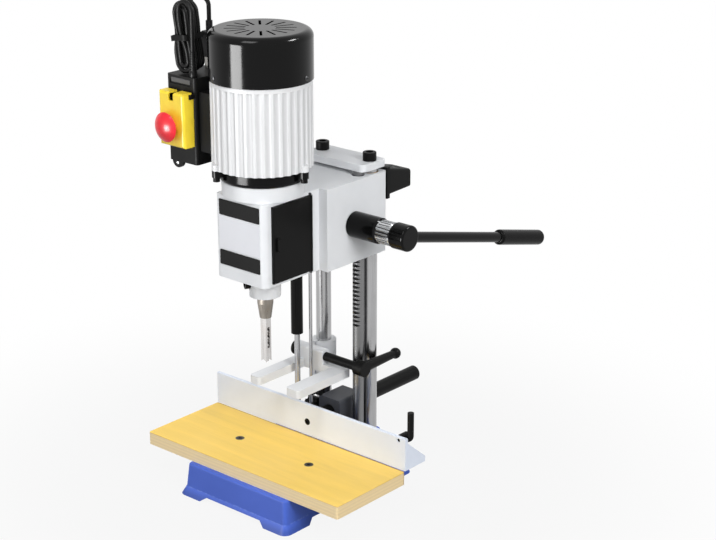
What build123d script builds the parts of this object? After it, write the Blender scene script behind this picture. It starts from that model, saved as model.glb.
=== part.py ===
from build123d import *
import math
import os

# Hollow chisel mortiser, in millimetres: a bench machine with a geared feed lever, a fence and a hold-down.
# +X is the user's right, -Y is the front and +Z is up. The origin is the centre of the bench screws, on the
# bench surface. The head is drawn at the top of its stroke and the fence at the back of its travel.

os.makedirs("parts", exist_ok=True)
UP = (Align.CENTER, Align.CENTER, Align.MIN)
DOWN = (Align.CENTER, Align.CENTER, Align.MAX)

# Clearances
running_fit = 0.05
slide_gap = 0.3
pass_gap = 1.0

# Base casting
base_width = 186.0
base_depth = 250.0
base_forward = 15.0
base_height = 46.0
base_wall = 8.0
base_corner = 6.0
base_edge = 3.0
deck_thickness = 9.0
base_draft = 3.0
toe_flare = 10.0
toe_corner = 12.0
foot_height = 12.0
arch_height = 7.0
front_foot = 32.0
side_foot = 38.0
arch_slope = 10.0
bench_pitch_x = 150.0
bench_pitch_y = 194.0
bench_hole_r = 3.4
bench_hole_depth = 26.0
pillar_r = 11.5
spindle_reach = 66.0

# Table
table_width = 360.0
table_depth = 139.0
table_thickness = 19.0
table_reach = 58.0
table_corner = 3.0
table_edge = 1.2
table_screw_pitch = 132.0
table_screw_r = 3.0
table_screw_head_r = 6.5
table_screw_grip = 6.0

# Columns, tie plate and rack
column_r = 11.0
column_pitch = 86.4
column_setback = 165.0
column_seat = 16.0
column_boss_r = 16.5
column_boss_height = 12.0
plate_width = 112.0
plate_depth = 50.0
plate_thickness = 10.0
plate_corner = 8.0
bolt_r = 6.0
bolt_head_r = 9.5
bolt_head_height = 12.0
bolt_head_edge = 1.0
bolt_socket_r = 5.2
bolt_depth = 24.0
rack_r = 8.0
rack_seat = 20.0
rack_boss_r = 12.0
rack_boss_height = 12.0
rack_tooth_low = 226.0
module = 2.0
pinion_teeth = 22
backlash = 0.5
pressure_angle = math.radians(20)

# Head casting, at the top of its stroke
head_bottom = 331.0
head_height = 115.0
stroke = 86.0
top_gap = 5.5
head_wall = 7.0
chuck_box_width = 90.0
chuck_box_reach = 46.0
chuck_box_corner = 8.0
carriage_width = 120.0
carriage_front = 59.0
carriage_rear = 182.7
carriage_corner = 5.0
ceiling = 10.0
rear_wall_gap = 1.0
bush_wall = 1.5
bush_length = 30.0
nose_r = 21.5
nose_length = 30.0
neck_r = 56.0
neck_foot_r = 54.5
neck_height = 20.0
window_front = 30.0
window_rear = 36.0
window_margin = 12.0
lower_plate_lift = 19.0
lower_plate_height = 20.5
middle_plate_height = 44.5
upper_plate_height = 21.5
front_plate_gap = 2.0
front_plate_corner = 1.5
front_plate_thickness = 0.8
cover_overlap = 3.0
cover_margin = 4.5
cover_thickness = 4.0
cover_pin_r = 2.5
cover_grip_length = 18.0

# Feed lever
hub_setback = 113.6
hub_height = 55.0
pinion_width = 14.0
shaft_r = 8.0
shaft_bush_wall = 3.0
web_thickness = 8.0
web_inset = 12.0
hub_r = 18.0
hub_length = 48.0
ring_r = 15.5
ring_length = 25.0
boss_r = 18.0
boss_length = 26.0
boss_edge = 3.0
lever_drop = 14.2
lever_length = 323.0
lever_r = 7.5
lever_socket = 12.0
grip_r = 11.0
grip_length = 105.0
grip_edge = 4.0

# Gas strut and depth rod
strut_x = -27.0
strut_setback = 91.0
strut_r = 8.5
strut_wall = 2.0
strut_rod_r = 4.0
strut_clear = 212.0
strut_end_wall = 10.0
strut_piston_height = 8.0
strut_stud_r = 4.0
strut_stud_length = 18.0
strut_foot_r = 8.0
strut_foot_height = 10.0
depth_rod_x = -16.0
depth_rod_setback = 107.3
depth_rod_r = 2.5
depth_rod_entry = 14.0
depth_rod_seat = 24.0
depth_collar_r = 7.0
depth_collar_height = 14.0
depth_collar_lift = 4.0
thumb_screw_r = 2.5
thumb_head_r = 5.5
thumb_head_length = 7.0
thumb_neck = 5.0

# Chisel, bushing and bit
chisel_side = 10.0
chisel_drop = 64.0
chisel_shank_r = 6.5
chisel_shank_length = 42.0
chisel_bore_r = 3.8
chisel_tip = 5.0
chisel_slot_width = 4.5
chisel_slot_length = 30.0
bushing_r = 11.0
bushing_foot_r = 8.0
bushing_drop = 32.0
bushing_shank_r = 9.5
bushing_shank_length = 36.0
lock_screw_r = 4.0
lock_screw_head_r = 6.5
lock_screw_head = 7.0
lock_screw_drop = 12.0
lock_screw_turn = 30.0
bit_r = 3.5
bit_spur = 3.0
chuck_r = 17.0
chuck_height = 52.0
chuck_taper = 8.0
chuck_drop = 22.0

# Motor
flange_r = 58.5
flange_height = 18.0
flange_edge = 5.0
spigot_r = 26.0
spigot_depth = 8.0
lug_count = 3
lug_turn = 8.0
lug_reach = 72.0
lug_width = 12.0
motor_bolt_r = 3.0
motor_bolt_head_r = 4.6
motor_bolt_head = 6.0
housing_r = 67.0
housing_height = 116.0
housing_wall = 8.0
flute_count = 36
flute_r = 6.0
flute_depth = 1.8
shield_thickness = 6.0
bearing_r = 17.5
bearing_height = 11.0
shaft_motor_r = 8.0
stator_r = 36.0
stator_height = 84.0
rotor_gap = 0.6
fan_r = 50.0
fan_plate = 3.0
fan_height = 24.0
fan_blades = 9
fan_hub_r = 15.0
fan_lift = 10.0
cover_r = 68.5
cover_height = 65.0
cover_wall = 3.0
cover_shoulder = 10.0
vent_count = 16
vent_inner_r = 20.0
vent_length = 27.0
vent_width = 3.4

# Switch
switch_width = 53.0
switch_depth = 64.0
switch_height = 117.0
switch_bottom = 479.0
switch_gap = 70.5
switch_front = 51.0
switch_edge = 4.0
switch_wall = 3.0
switch_ear = 10.0
switch_screw_r = 3.5
bracket_depth = 36.0
bracket_height = 80.0
bracket_reach = 22.0
flap_width = 46.0
flap_height = 73.0
flap_depth = 19.0
flap_wall = 2.5
flap_low = 25.5
flap_edge = 4.0
flap_notch_width = 9.0
flap_notch_height = 11.0
flap_pin_r = 2.0
flap_pin_reach = 6.0
flap_pin_lug = 2.4
button_width = 20.0
button_height = 22.0
button_travel = 3.0
button_proud = 6.0
button_gap = 7.0
mushroom_r = 20.0
mushroom_height = 14.0
mushroom_stem_r = 8.0
mushroom_travel = 5.0
mushroom_low = 8.0

# Mains cord: gland, hank of loops, plug
cord_d = 6.0
hank_step = 6.6
hank_inner = 6.8
hank_run = 62.0
hank_waist = 1.8
hank_bend = 19.0
hank_offset = 21.0
hank_front = 7.0
gland_inset = 9.5
gland_r = 5.5
gland_tip_r = 3.9
gland_height = 34.0
lead_rise = 32.0
plug_shift = 12.0
plug_setback = 15.0
plug_width = 22.0
plug_depth = 15.0
plug_height = 34.0
plug_collar_r = 4.6
plug_collar_height = 14.0
blade_length = 17.0
blade_width = 6.3
blade_thickness = 1.5
blade_pitch = 12.7
tie_height = 9.0
tie_wall = 1.6

# Fence and its bar
fence_height = 48.0
fence_thickness = 5.5
fence_travel = 60.0
gusset_depth = 38.0
gusset_thickness = 5.0
gusset_rear_height = 8.0
gusset_top_drop = 8.0
bar_r = 11.0
bar_height = 21.0
bar_end = 321.0
block_width = 40.0
block_front = 128.0
block_length = 48.0
block_top = 10.0
bar_screw_r = 3.0
bar_screw_head_r = 5.0
bar_screw_depth = 16.0
knob_r = 12.0
knob_length = 18.0
knob_stem_r = 4.0
knob_stem = 6.0
knob_setback = 134.0
fence_lever_inset = 12.0
fence_lever_height = 43.0
fence_lever_stud_r = 2.5
fence_lever_r = 4.5
fence_lever_hub_r = 7.0
fence_lever_hub = 13.0
fence_lever_foot = 11.0
fence_lever_rise = 40.0
fence_lever_bend = 6.0

# Hold-down
fork_height = 96.0
fork_thickness = 12.0
fork_left = -57.0
fork_right = 36.0
fork_arm = 19.0
fork_right_arm = 24.0
fork_front = 24.0
fork_bridge_front = 117.0
fork_bridge_rear = 131.0
collar_r = 18.0
collar_height = 56.0
collar_rise = 16.0
collar_slot = 3.0
clamp_rise = 11.0
clamp_land = 10.0
clamp_block = 54.0
clamp_setback = 124.0
clamp_bolt_r = 4.0
clamp_hub_r = 11.0
clamp_hub_length = 16.0
clamp_arm = 74.0
clamp_arm_r = 8.0
clamp_tip_r = 5.5
clamp_ball_r = 8.0
clamp_sleeve_r = 6.5
clamp_washer = 3.0

# Tool holder behind the carriage
holder_width = 50.0
holder_flange = 6.0
holder_height = 45.0
holder_length = 58.0
holder_rear_height = 26.0
holder_slot = 9.0
holder_rise = 4.0
holder_sag = 6.0

# Places worked out from the sizes above
base_mid_y = -base_forward
spindle_y = base_mid_y - base_depth / 2 + spindle_reach
table_top = base_height + table_thickness
table_front_y = spindle_y - table_reach
table_mid_y = table_front_y + table_depth / 2
fence_y = table_front_y + table_depth
column_x = column_pitch / 2
column_y = spindle_y + column_setback
head_top = head_bottom + head_height
plate_z = head_top + top_gap
bush_r = column_r + bush_wall
pinion_r = module * pinion_teeth / 2
hub_y = spindle_y + hub_setback
hub_z = head_bottom + hub_height
rack_x = column_x
rack_y = hub_y + pinion_r + rack_r - module
cavity_front_y = spindle_y + carriage_front + 1
cavity_rear_y = rack_y + rack_r + rear_wall_gap
cavity_half = carriage_width / 2 - head_wall - 1
carriage_half = carriage_width / 2
carriage_rear_y = spindle_y + carriage_rear
strut_y = spindle_y + strut_setback
depth_rod_y = spindle_y + depth_rod_setback
strut_foot_top = base_height + strut_foot_height
nose_bottom = head_bottom - nose_length
chisel_bottom = nose_bottom - bushing_drop - chisel_drop
flange_z = head_top + neck_height
housing_z = flange_z + flange_height
cover_z = housing_z + housing_height
motor_top = cover_z + cover_height
chuck_z = head_bottom + chuck_drop
switch_right = -switch_gap
switch_x = switch_right - switch_width / 2
switch_front_y = spindle_y - switch_front
switch_mid_y = switch_front_y + switch_depth / 2
switch_top = switch_bottom + switch_height
flap_bottom = switch_bottom + flap_low
flap_top = flap_bottom + flap_height
flap_front_y = switch_front_y - slide_gap - flap_depth
flap_pin_z = flap_top - flap_wall - flap_pin_r - slide_gap
flap_pin_y = switch_front_y - flap_pin_reach
mushroom_z = flap_bottom + flap_height / 2 - mushroom_low
bar_z = table_top + bar_height
block_front_y = spindle_y + block_front
knob_y = spindle_y + knob_setback
fence_lever_x = table_width / 2 - fence_lever_inset
fence_lever_y = fence_y + fence_thickness + slide_gap
fence_lever_z = table_top + fence_lever_height
fork_top = table_top + fork_height
fork_bottom = fork_top - fork_thickness
clamp_y = spindle_y + clamp_setback
collar_bottom = fork_top + collar_rise - collar_height
clamp_z = fork_top + clamp_rise
clamp_top = clamp_z + clamp_land
lever_x = carriage_half + running_fit + hub_length + ring_length + boss_length / 2


def vertical_screw(radius, length, head_radius, head_height, socket):
    """A socket-head screw that stands head up, its head's seat at the location's origin."""
    Cylinder(radius, length, align=DOWN)
    Cylinder(head_radius, head_height, align=UP)
    with Locations((0, 0, head_height)):
        Cylinder(socket, head_height / 2, align=DOWN, mode=Mode.SUBTRACT)


def arch_outline(half):
    """Corners of an arch between two feet, wider at the bench than at its top."""
    return [(-half, -1), (half, -1), (half, 0), (half - arch_slope, arch_height),
            (arch_slope - half, arch_height), (-half, 0)]


# Base casting: a hollow box on four arched feet, with bosses for the columns, the rack and the rods
base_stages = [
    (0, foot_height, toe_flare, base_draft, toe_corner, base_corner),
    (foot_height, base_height, base_draft, 0, base_corner, base_corner),
]
column_spots = [(-column_x, column_y), (column_x, column_y)]
table_screw_spots = [(-table_screw_pitch / 2, table_mid_y), (table_screw_pitch / 2, table_mid_y)]
with BuildPart() as base_casting:
    for low_z, high_z, low_grow, high_grow, low_corner, high_corner in base_stages:
        with BuildSketch(Plane.XY.offset(low_z)):
            with Locations((0, base_mid_y)):
                RectangleRounded(base_width + 2 * low_grow, base_depth + 2 * low_grow, low_corner)
        with BuildSketch(Plane.XY.offset(high_z)):
            with Locations((0, base_mid_y)):
                RectangleRounded(base_width + 2 * high_grow, base_depth + 2 * high_grow, high_corner)
        loft()
    fillet(base_casting.faces().sort_by(Axis.Z)[-1].edges(), base_edge)
    with BuildSketch():
        with Locations((0, base_mid_y)):
            RectangleRounded(base_width - 2 * base_wall, base_depth - 2 * base_wall, base_corner / 2)
    extrude(amount=base_height - deck_thickness, mode=Mode.SUBTRACT)
    with BuildSketch(Plane.XZ):
        Polygon(*arch_outline(base_width / 2 - front_foot), align=None)
    extrude(amount=base_depth, both=True, mode=Mode.SUBTRACT)
    with BuildSketch(Plane.YZ):
        with Locations((base_mid_y, 0)):
            Polygon(*arch_outline(base_depth / 2 - side_foot), align=None)
    extrude(amount=base_width, both=True, mode=Mode.SUBTRACT)
    with GridLocations(bench_pitch_x, bench_pitch_y, 2, 2):
        Cylinder(pillar_r, base_height - deck_thickness / 2, align=UP)
        Cylinder(bench_hole_r, bench_hole_depth, align=UP, mode=Mode.SUBTRACT)
    with Locations(*[(x, y, arch_height) for x, y in column_spots]):
        Cylinder(column_boss_r, base_height + column_boss_height - arch_height, align=UP)
    with Locations((rack_x, rack_y, arch_height)):
        Cylinder(rack_boss_r, base_height + rack_boss_height - arch_height, align=UP)
    with Locations((depth_rod_x, depth_rod_y, arch_height)):
        Cylinder(3 * depth_rod_r, base_height - arch_height, align=UP)
    with Locations((strut_x, strut_y, arch_height)):
        Cylinder(strut_foot_r, base_height - arch_height, align=UP)
    with Locations(*[(x, y, column_seat) for x, y in column_spots]):
        Cylinder(column_r, head_bottom, align=UP, mode=Mode.SUBTRACT)
    with Locations((rack_x, rack_y, rack_seat)):
        Cylinder(rack_r, head_bottom, align=UP, mode=Mode.SUBTRACT)
    with Locations((depth_rod_x, depth_rod_y, depth_rod_seat)):
        Cylinder(depth_rod_r, base_height, align=UP, mode=Mode.SUBTRACT)
    with Locations((strut_x, strut_y, depth_rod_seat)):
        Cylinder(strut_rod_r, base_height, align=UP, mode=Mode.SUBTRACT)
    with Locations(*[(x, y, base_height - table_screw_grip) for x, y in table_screw_spots]):
        Cylinder(table_screw_r, base_height, align=UP, mode=Mode.SUBTRACT)

# Table board, with its two countersunk screws
table_screw_sink = table_screw_head_r - table_screw_r
with BuildPart() as table_board:
    with BuildSketch(Plane.XY.offset(base_height)):
        with Locations((0, table_mid_y)):
            RectangleRounded(table_width, table_depth, table_corner)
    extrude(amount=table_thickness)
    fillet(table_board.faces().sort_by(Axis.Z)[-1].edges(), table_edge)
    with Locations(*[(x, y, base_height) for x, y in table_screw_spots]):
        Cylinder(table_screw_r, table_thickness, align=UP, mode=Mode.SUBTRACT)
    with Locations(*[(x, y, table_top - table_screw_sink) for x, y in table_screw_spots]):
        Cone(table_screw_r, table_screw_head_r, table_screw_sink, align=UP, mode=Mode.SUBTRACT)

with BuildPart() as table_screws:
    with Locations(*[(x, y, base_height - table_screw_grip) for x, y in table_screw_spots]):
        Cylinder(table_screw_r, table_screw_grip + table_thickness - table_screw_sink, align=UP)
    with Locations(*[(x, y, table_top - table_screw_sink) for x, y in table_screw_spots]):
        Cone(table_screw_r, table_screw_head_r, table_screw_sink, align=UP)
    with Locations(*[(x, y, table_top) for x, y in table_screw_spots]):
        Box(table_screw_head_r, table_screw_r / 2, table_screw_sink / 2, align=DOWN, mode=Mode.SUBTRACT)
        Box(table_screw_r / 2, table_screw_head_r, table_screw_sink / 2, align=DOWN, mode=Mode.SUBTRACT)


def column(x):
    """One guide column, bored at its top for the tie plate's bolt."""
    with BuildPart() as rod:
        with Locations((x, column_y, column_seat)):
            Cylinder(column_r, plate_z - column_seat, align=UP)
        with Locations((x, column_y, plate_z)):
            Cylinder(bolt_r, bolt_depth - plate_thickness, align=DOWN, mode=Mode.SUBTRACT)
    return rod


left_column = column(-column_x)
right_column = column(column_x)

# Tie plate across the column tops, also holding the rack's upper end
with BuildPart() as top_plate:
    with BuildSketch(Plane.XY.offset(plate_z)):
        with Locations((0, column_y - bolt_r / 2)):
            RectangleRounded(plate_width, plate_depth, plate_corner)
        with Locations(*column_spots):
            Circle(bolt_r, mode=Mode.SUBTRACT)
    extrude(amount=plate_thickness)
    fillet(top_plate.faces().sort_by(Axis.Z)[-1].edges().filter_by(GeomType.LINE), base_edge / 3)

with BuildPart() as top_plate_bolts:
    with Locations(*[(x, y, plate_z + plate_thickness) for x, y in column_spots]):
        vertical_screw(bolt_r, bolt_depth, bolt_head_r, bolt_head_height, bolt_socket_r)
    bolt_rims = top_plate_bolts.edges().filter_by(GeomType.CIRCLE).group_by(Axis.Z)[-1]
    fillet(bolt_rims.sort_by(SortBy.RADIUS)[-2:], bolt_head_edge)

# Rack bar: round, with teeth cut in its front
rack_pitch = math.pi * module
rack_front_y = rack_y - rack_r
gap_half = rack_pitch / 4 + backlash / 4
gap_slope = math.tan(pressure_angle)
rack_depth = 2.25 * module
tooth_rows = int((plate_z - top_gap - rack_tooth_low) / rack_pitch)
first_gap = hub_z - math.floor((hub_z - rack_tooth_low) / rack_pitch) * rack_pitch
with BuildPart() as rack_bar:
    with Locations((rack_x, rack_y, rack_seat)):
        Cylinder(rack_r, plate_z - rack_seat, align=UP)
    with BuildSketch(Plane.YZ.offset(rack_x)):
        for row in range(tooth_rows):
            gap_z = first_gap + row * rack_pitch
            mouth = gap_half + (module + pass_gap) * gap_slope
            root = gap_half - (rack_depth - module) * gap_slope
            with BuildLine():
                Polyline(
                    (rack_front_y - pass_gap, gap_z - mouth),
                    (rack_front_y + rack_depth, gap_z - root),
                    (rack_front_y + rack_depth, gap_z + root),
                    (rack_front_y - pass_gap, gap_z + mouth),
                    close=True,
                )
            make_face()
    extrude(amount=rack_r, both=True, mode=Mode.SUBTRACT)

# Depth rod, with its stop collar and thumb screw
with BuildPart() as depth_rod:
    with Locations((depth_rod_x, depth_rod_y, depth_rod_seat)):
        Cylinder(depth_rod_r, head_bottom + depth_rod_entry - depth_rod_seat, align=UP)

collar_z = table_top + fence_height + depth_collar_lift
collar_mid_z = collar_z + depth_collar_height / 2
with BuildPart() as depth_collar:
    with Locations((depth_rod_x, depth_rod_y, collar_z)):
        Cylinder(depth_collar_r, depth_collar_height, align=UP)
        Cylinder(depth_rod_r + running_fit, depth_collar_height, align=UP, mode=Mode.SUBTRACT)
    with BuildSketch(Plane.YZ.offset(depth_rod_x)):
        with Locations((depth_rod_y, collar_mid_z)):
            Circle(thumb_screw_r)
    extrude(amount=depth_collar_r, mode=Mode.SUBTRACT)

with BuildPart() as depth_thumb_screw:
    with BuildSketch(Plane.YZ.offset(depth_rod_x + depth_rod_r + slide_gap)):
        with Locations((depth_rod_y, collar_mid_z)):
            Circle(thumb_screw_r)
    extrude(amount=depth_collar_r - depth_rod_r + thumb_neck)
    with BuildSketch(Plane.YZ.offset(depth_rod_x + depth_collar_r + thumb_neck)):
        with Locations((depth_rod_y, collar_mid_z)):
            RegularPolygon(thumb_head_r, 12)
    extrude(amount=thumb_head_length)

# Gas strut: the rod stands on the base, the cylinder hangs under the carriage's ceiling
strut_top = head_top - ceiling - strut_stud_length
strut_bore_r = strut_r - strut_wall
piston_z = strut_clear + strut_end_wall + slide_gap
with BuildPart() as gas_strut_rod:
    with Locations((strut_x, strut_y, depth_rod_seat)):
        Cylinder(strut_rod_r, piston_z + strut_piston_height - depth_rod_seat, align=UP)
    with Locations((strut_x, strut_y, base_height)):
        Cylinder(strut_foot_r, strut_foot_height, align=UP)
    with Locations((strut_x, strut_y, piston_z)):
        Cylinder(strut_bore_r - running_fit, strut_piston_height, align=UP)

with BuildPart() as gas_strut_cylinder:
    with Locations((strut_x, strut_y, strut_clear)):
        Cylinder(strut_r, strut_top - strut_clear, align=UP)
        Cylinder(strut_rod_r + running_fit, strut_end_wall, align=UP, mode=Mode.SUBTRACT)
    with Locations((strut_x, strut_y, strut_clear + strut_end_wall)):
        Cylinder(strut_bore_r, strut_top - strut_clear - 2 * strut_end_wall, align=UP, mode=Mode.SUBTRACT)
    with Locations((strut_x, strut_y, strut_top)):
        Cylinder(strut_stud_r, strut_stud_length, align=UP)

# Head casting: chuck box in front, carriage on the columns behind, motor neck above, chisel nose below
box_front_y = spindle_y - chuck_box_reach
carriage_front_y = spindle_y + carriage_front
chamber_rear_y = cavity_front_y - head_wall
shaft_bush_r = shaft_r + shaft_bush_wall
web_right = rack_x - pinion_width / 2 - running_fit - pass_gap
window_y = spindle_y + (window_rear - window_front) / 2
window_z = head_bottom + head_height / 2
nose_mid = Location((0, spindle_y, head_bottom))
with BuildPart() as head_casting:
    with BuildSketch(Plane.XY.offset(head_bottom)) as head_outline:
        with Locations((0, (box_front_y + carriage_rear_y) / 2)):
            Rectangle(chuck_box_width, carriage_rear_y - box_front_y)
        with Locations((0, (carriage_front_y + carriage_rear_y) / 2)):
            Rectangle(carriage_width, carriage_rear_y - carriage_front_y)
        fillet(head_outline.vertices().group_by(Axis.Y)[0], chuck_box_corner)
        fillet(head_outline.vertices().group_by(Axis.Y)[-1], carriage_corner)
    extrude(amount=head_height)
    with Locations((0, spindle_y, head_top)):
        Cone(neck_foot_r, neck_r, neck_height, align=UP)
    with Locations((0, spindle_y, head_bottom)):
        Cylinder(nose_r, nose_length, align=DOWN)
    with Locations((0, (box_front_y + head_wall + chamber_rear_y) / 2, head_bottom + head_wall)):
        Box(chuck_box_width - 2 * head_wall, chamber_rear_y - box_front_y - head_wall,
            head_height - 2 * head_wall, align=UP, mode=Mode.SUBTRACT)
    with Locations((chuck_box_width / 2, window_y, window_z)):
        Box(4 * head_wall, window_front + window_rear, head_height - 2 * window_margin, mode=Mode.SUBTRACT)
    with Locations((0, (cavity_front_y + cavity_rear_y) / 2, head_bottom)):
        Box(2 * cavity_half, cavity_rear_y - cavity_front_y, head_height - ceiling,
            align=UP, mode=Mode.SUBTRACT)
    with Locations((web_right - web_thickness / 2, (cavity_front_y + cavity_rear_y) / 2, head_top - ceiling)):
        Box(web_thickness, cavity_rear_y - cavity_front_y, head_top - ceiling - hub_z + 2 * shaft_bush_r,
            align=DOWN)
    with BuildSketch(Plane.YZ.offset(web_right - web_thickness)):
        with Locations((hub_y, hub_z)):
            Circle(shaft_bush_r)
    extrude(amount=carriage_width, mode=Mode.SUBTRACT)
    with Locations(*[(x, y, head_bottom) for x, y in column_spots]):
        Cylinder(bush_r, head_height, align=UP, mode=Mode.SUBTRACT)
    with Locations((rack_x, rack_y, head_bottom)):
        Cylinder(rack_r + pass_gap, head_height, align=UP, mode=Mode.SUBTRACT)
    with Locations((strut_x, strut_y, head_top - ceiling)):
        Cylinder(strut_stud_r, ceiling / 2, align=UP, mode=Mode.SUBTRACT)
    with Locations((0, spindle_y, head_top - head_wall)):
        Cylinder(spigot_r, head_wall + neck_height, align=UP, mode=Mode.SUBTRACT)
    with Locations((0, spindle_y, nose_bottom)):
        Cylinder(bushing_shank_r, nose_length + head_wall, align=UP, mode=Mode.SUBTRACT)
    lock_screw_spot = Plane(
        origin=(0, spindle_y, head_bottom - lock_screw_drop),
        z_dir=(-math.sin(math.radians(lock_screw_turn)), -math.cos(math.radians(lock_screw_turn)), 0),
    )
    with BuildSketch(lock_screw_spot):
        Circle(lock_screw_r)
    extrude(amount=nose_r, mode=Mode.SUBTRACT)

with BuildPart() as bronze_bushes:
    with Locations(*[(x, y, z) for x, y in column_spots for z in (head_bottom, head_top - bush_length)]):
        Cylinder(bush_r, bush_length, align=UP)
        Cylinder(column_r + running_fit, bush_length, align=UP, mode=Mode.SUBTRACT)
    side_wall = carriage_half - cavity_half
    for plane_x, length in ((web_right - web_thickness, web_thickness), (cavity_half, side_wall)):
        with BuildSketch(Plane.YZ.offset(plane_x)):
            with Locations((hub_y, hub_z)):
                Circle(shaft_bush_r)
                Circle(shaft_r + running_fit, mode=Mode.SUBTRACT)
        extrude(amount=length)

# Chuck cover: a shallow tray hinged along its rear edge, over the window in the chuck box
cover_x = chuck_box_width / 2 + slide_gap
cover_width = window_front + window_rear + 2 * cover_overlap
cover_tall = head_height - 2 * cover_margin
cover_hinge_y = window_y + cover_width / 2 + cover_pin_r / 2
cover_hinge_x = cover_x + cover_pin_r
with BuildPart() as chuck_cover:
    with Locations((cover_x, window_y, window_z)):
        Box(cover_thickness, cover_width, cover_tall, align=(Align.MIN, Align.CENTER, Align.CENTER))
    chamfer(chuck_cover.faces().sort_by(Axis.X)[-1].edges(), cover_thickness / 4)
    with Locations((cover_hinge_x, cover_hinge_y, window_z)):
        Cylinder(cover_pin_r, cover_tall)
        Cylinder(cover_pin_r / 2 + running_fit, cover_tall, mode=Mode.SUBTRACT)
    with Locations((cover_x + cover_thickness, window_y - cover_width / 2 + 2 * cover_thickness, window_z)):
        Box(cover_thickness, cover_thickness, cover_grip_length,
            align=(Align.MIN, Align.CENTER, Align.CENTER))

with BuildPart() as chuck_cover_pin:
    with Locations((cover_hinge_x, cover_hinge_y, window_z)):
        Cylinder(cover_pin_r / 2, cover_tall + 2 * cover_pin_r)
    for end in (-1, 1):
        pin_end_z = window_z + end * (cover_tall / 2 + cover_pin_r / 2 + slide_gap)
        with Locations((chuck_box_width / 2, cover_hinge_y, pin_end_z)):
            Box(cover_hinge_x - chuck_box_width / 2, cover_pin_r, cover_pin_r,
                align=(Align.MIN, Align.CENTER, Align.CENTER))

# Bare plates on the front of the chuck box
front_plate_width = chuck_box_width - 2 * chuck_box_corner - pass_gap
lower_plate_z = head_bottom + lower_plate_lift
middle_plate_z = lower_plate_z + lower_plate_height + front_plate_gap
upper_plate_z = middle_plate_z + middle_plate_height + front_plate_gap
with BuildPart() as black_plates:
    with BuildSketch(Plane.XZ.offset(-box_front_y)):
        with Locations((0, lower_plate_z + lower_plate_height / 2)):
            RectangleRounded(front_plate_width, lower_plate_height, front_plate_corner)
        with Locations((0, upper_plate_z + upper_plate_height / 2)):
            RectangleRounded(front_plate_width, upper_plate_height, front_plate_corner)
    extrude(amount=front_plate_thickness)

with BuildPart() as silver_plate:
    with BuildSketch(Plane.XZ.offset(-box_front_y)):
        with Locations((0, middle_plate_z + middle_plate_height / 2)):
            RectangleRounded(front_plate_width, middle_plate_height, front_plate_corner)
    extrude(amount=front_plate_thickness)

# Chisel bushing, hollow chisel and lock screw
chisel_top = nose_bottom - bushing_drop + chisel_shank_length
with BuildPart() as chisel_bushing:
    with BuildSketch(Plane.XZ.offset(-spindle_y)):
        with BuildLine():
            Polyline(
                (chisel_shank_r, nose_bottom - bushing_drop),
                (bushing_foot_r, nose_bottom - bushing_drop),
                (bushing_r, nose_bottom - bushing_drop / 3),
                (bushing_r, nose_bottom),
                (bushing_shank_r, nose_bottom),
                (bushing_shank_r, nose_bottom + bushing_shank_length),
                (chisel_shank_r, nose_bottom + bushing_shank_length),
                close=True,
            )
        make_face()
    revolve(axis=Axis((0, spindle_y, 0), (0, 0, 1)))

with BuildPart() as hollow_chisel:
    with Locations((0, spindle_y, chisel_bottom)):
        Box(chisel_side, chisel_side, chisel_drop, align=UP)
    with Locations((0, spindle_y, nose_bottom - bushing_drop)):
        Cylinder(chisel_shank_r, chisel_shank_length, align=UP)
    with Locations((0, spindle_y, chisel_bottom)):
        Cone(chisel_side / math.sqrt(2), chisel_bore_r, chisel_tip, align=UP, mode=Mode.SUBTRACT)
        Cylinder(chisel_bore_r, chisel_drop + chisel_shank_length, align=UP, mode=Mode.SUBTRACT)
    with Locations((chisel_side / 2, spindle_y, chisel_bottom + 4 * chisel_tip)):
        Box(chisel_side, chisel_slot_width, chisel_slot_length, align=UP, mode=Mode.SUBTRACT)

with BuildPart() as chisel_lock_screw:
    with BuildSketch(lock_screw_spot.offset(bushing_shank_r)):
        Circle(lock_screw_r)
    extrude(amount=nose_r - bushing_shank_r)
    with BuildSketch(lock_screw_spot.offset(nose_r)):
        Circle(lock_screw_head_r)
    extrude(amount=lock_screw_head)
    with BuildSketch(lock_screw_spot.offset(nose_r + lock_screw_head)):
        RegularPolygon(lock_screw_r, 6)
    extrude(amount=-lock_screw_head / 2, mode=Mode.SUBTRACT)

# Motor: flange, ribbed housing, stator, bearings and fan cover
lower_bearing_z = flange_z + slide_gap
upper_bearing_z = cover_z - shield_thickness - bearing_height + 2
lug_spots = [math.radians(lug_turn + 360 / lug_count * i) for i in range(lug_count)]
housing_bore_r = housing_r - flute_depth - housing_wall
cover_crown_r = cover_r - cover_shoulder
with BuildPart() as motor_flange:
    with Locations((0, spindle_y, flange_z)):
        Cylinder(flange_r, flange_height, align=UP)
    fillet(motor_flange.edges().group_by(Axis.Z)[0], flange_edge)
    with BuildSketch(Plane.XY.offset(flange_z + flange_height / 2)):
        with Locations((0, spindle_y)):
            with PolarLocations(lug_reach / 2, lug_count, lug_turn):
                SlotOverall(lug_reach, lug_width)
    extrude(amount=flange_height / 2)
    with Locations((0, spindle_y, flange_z)):
        Cylinder(spigot_r, spigot_depth, align=DOWN)
        Cylinder(bearing_r, flange_height, align=UP, mode=Mode.SUBTRACT)
        Cylinder(bearing_r - 2, 2 * spigot_depth, mode=Mode.SUBTRACT)
    with Locations(*[(lug_reach * math.cos(a) - lug_width / 2 * math.cos(a),
                      spindle_y + lug_reach * math.sin(a) - lug_width / 2 * math.sin(a), flange_z)
                     for a in lug_spots]):
        Cylinder(motor_bolt_r, 4 * flange_height, mode=Mode.SUBTRACT)

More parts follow.
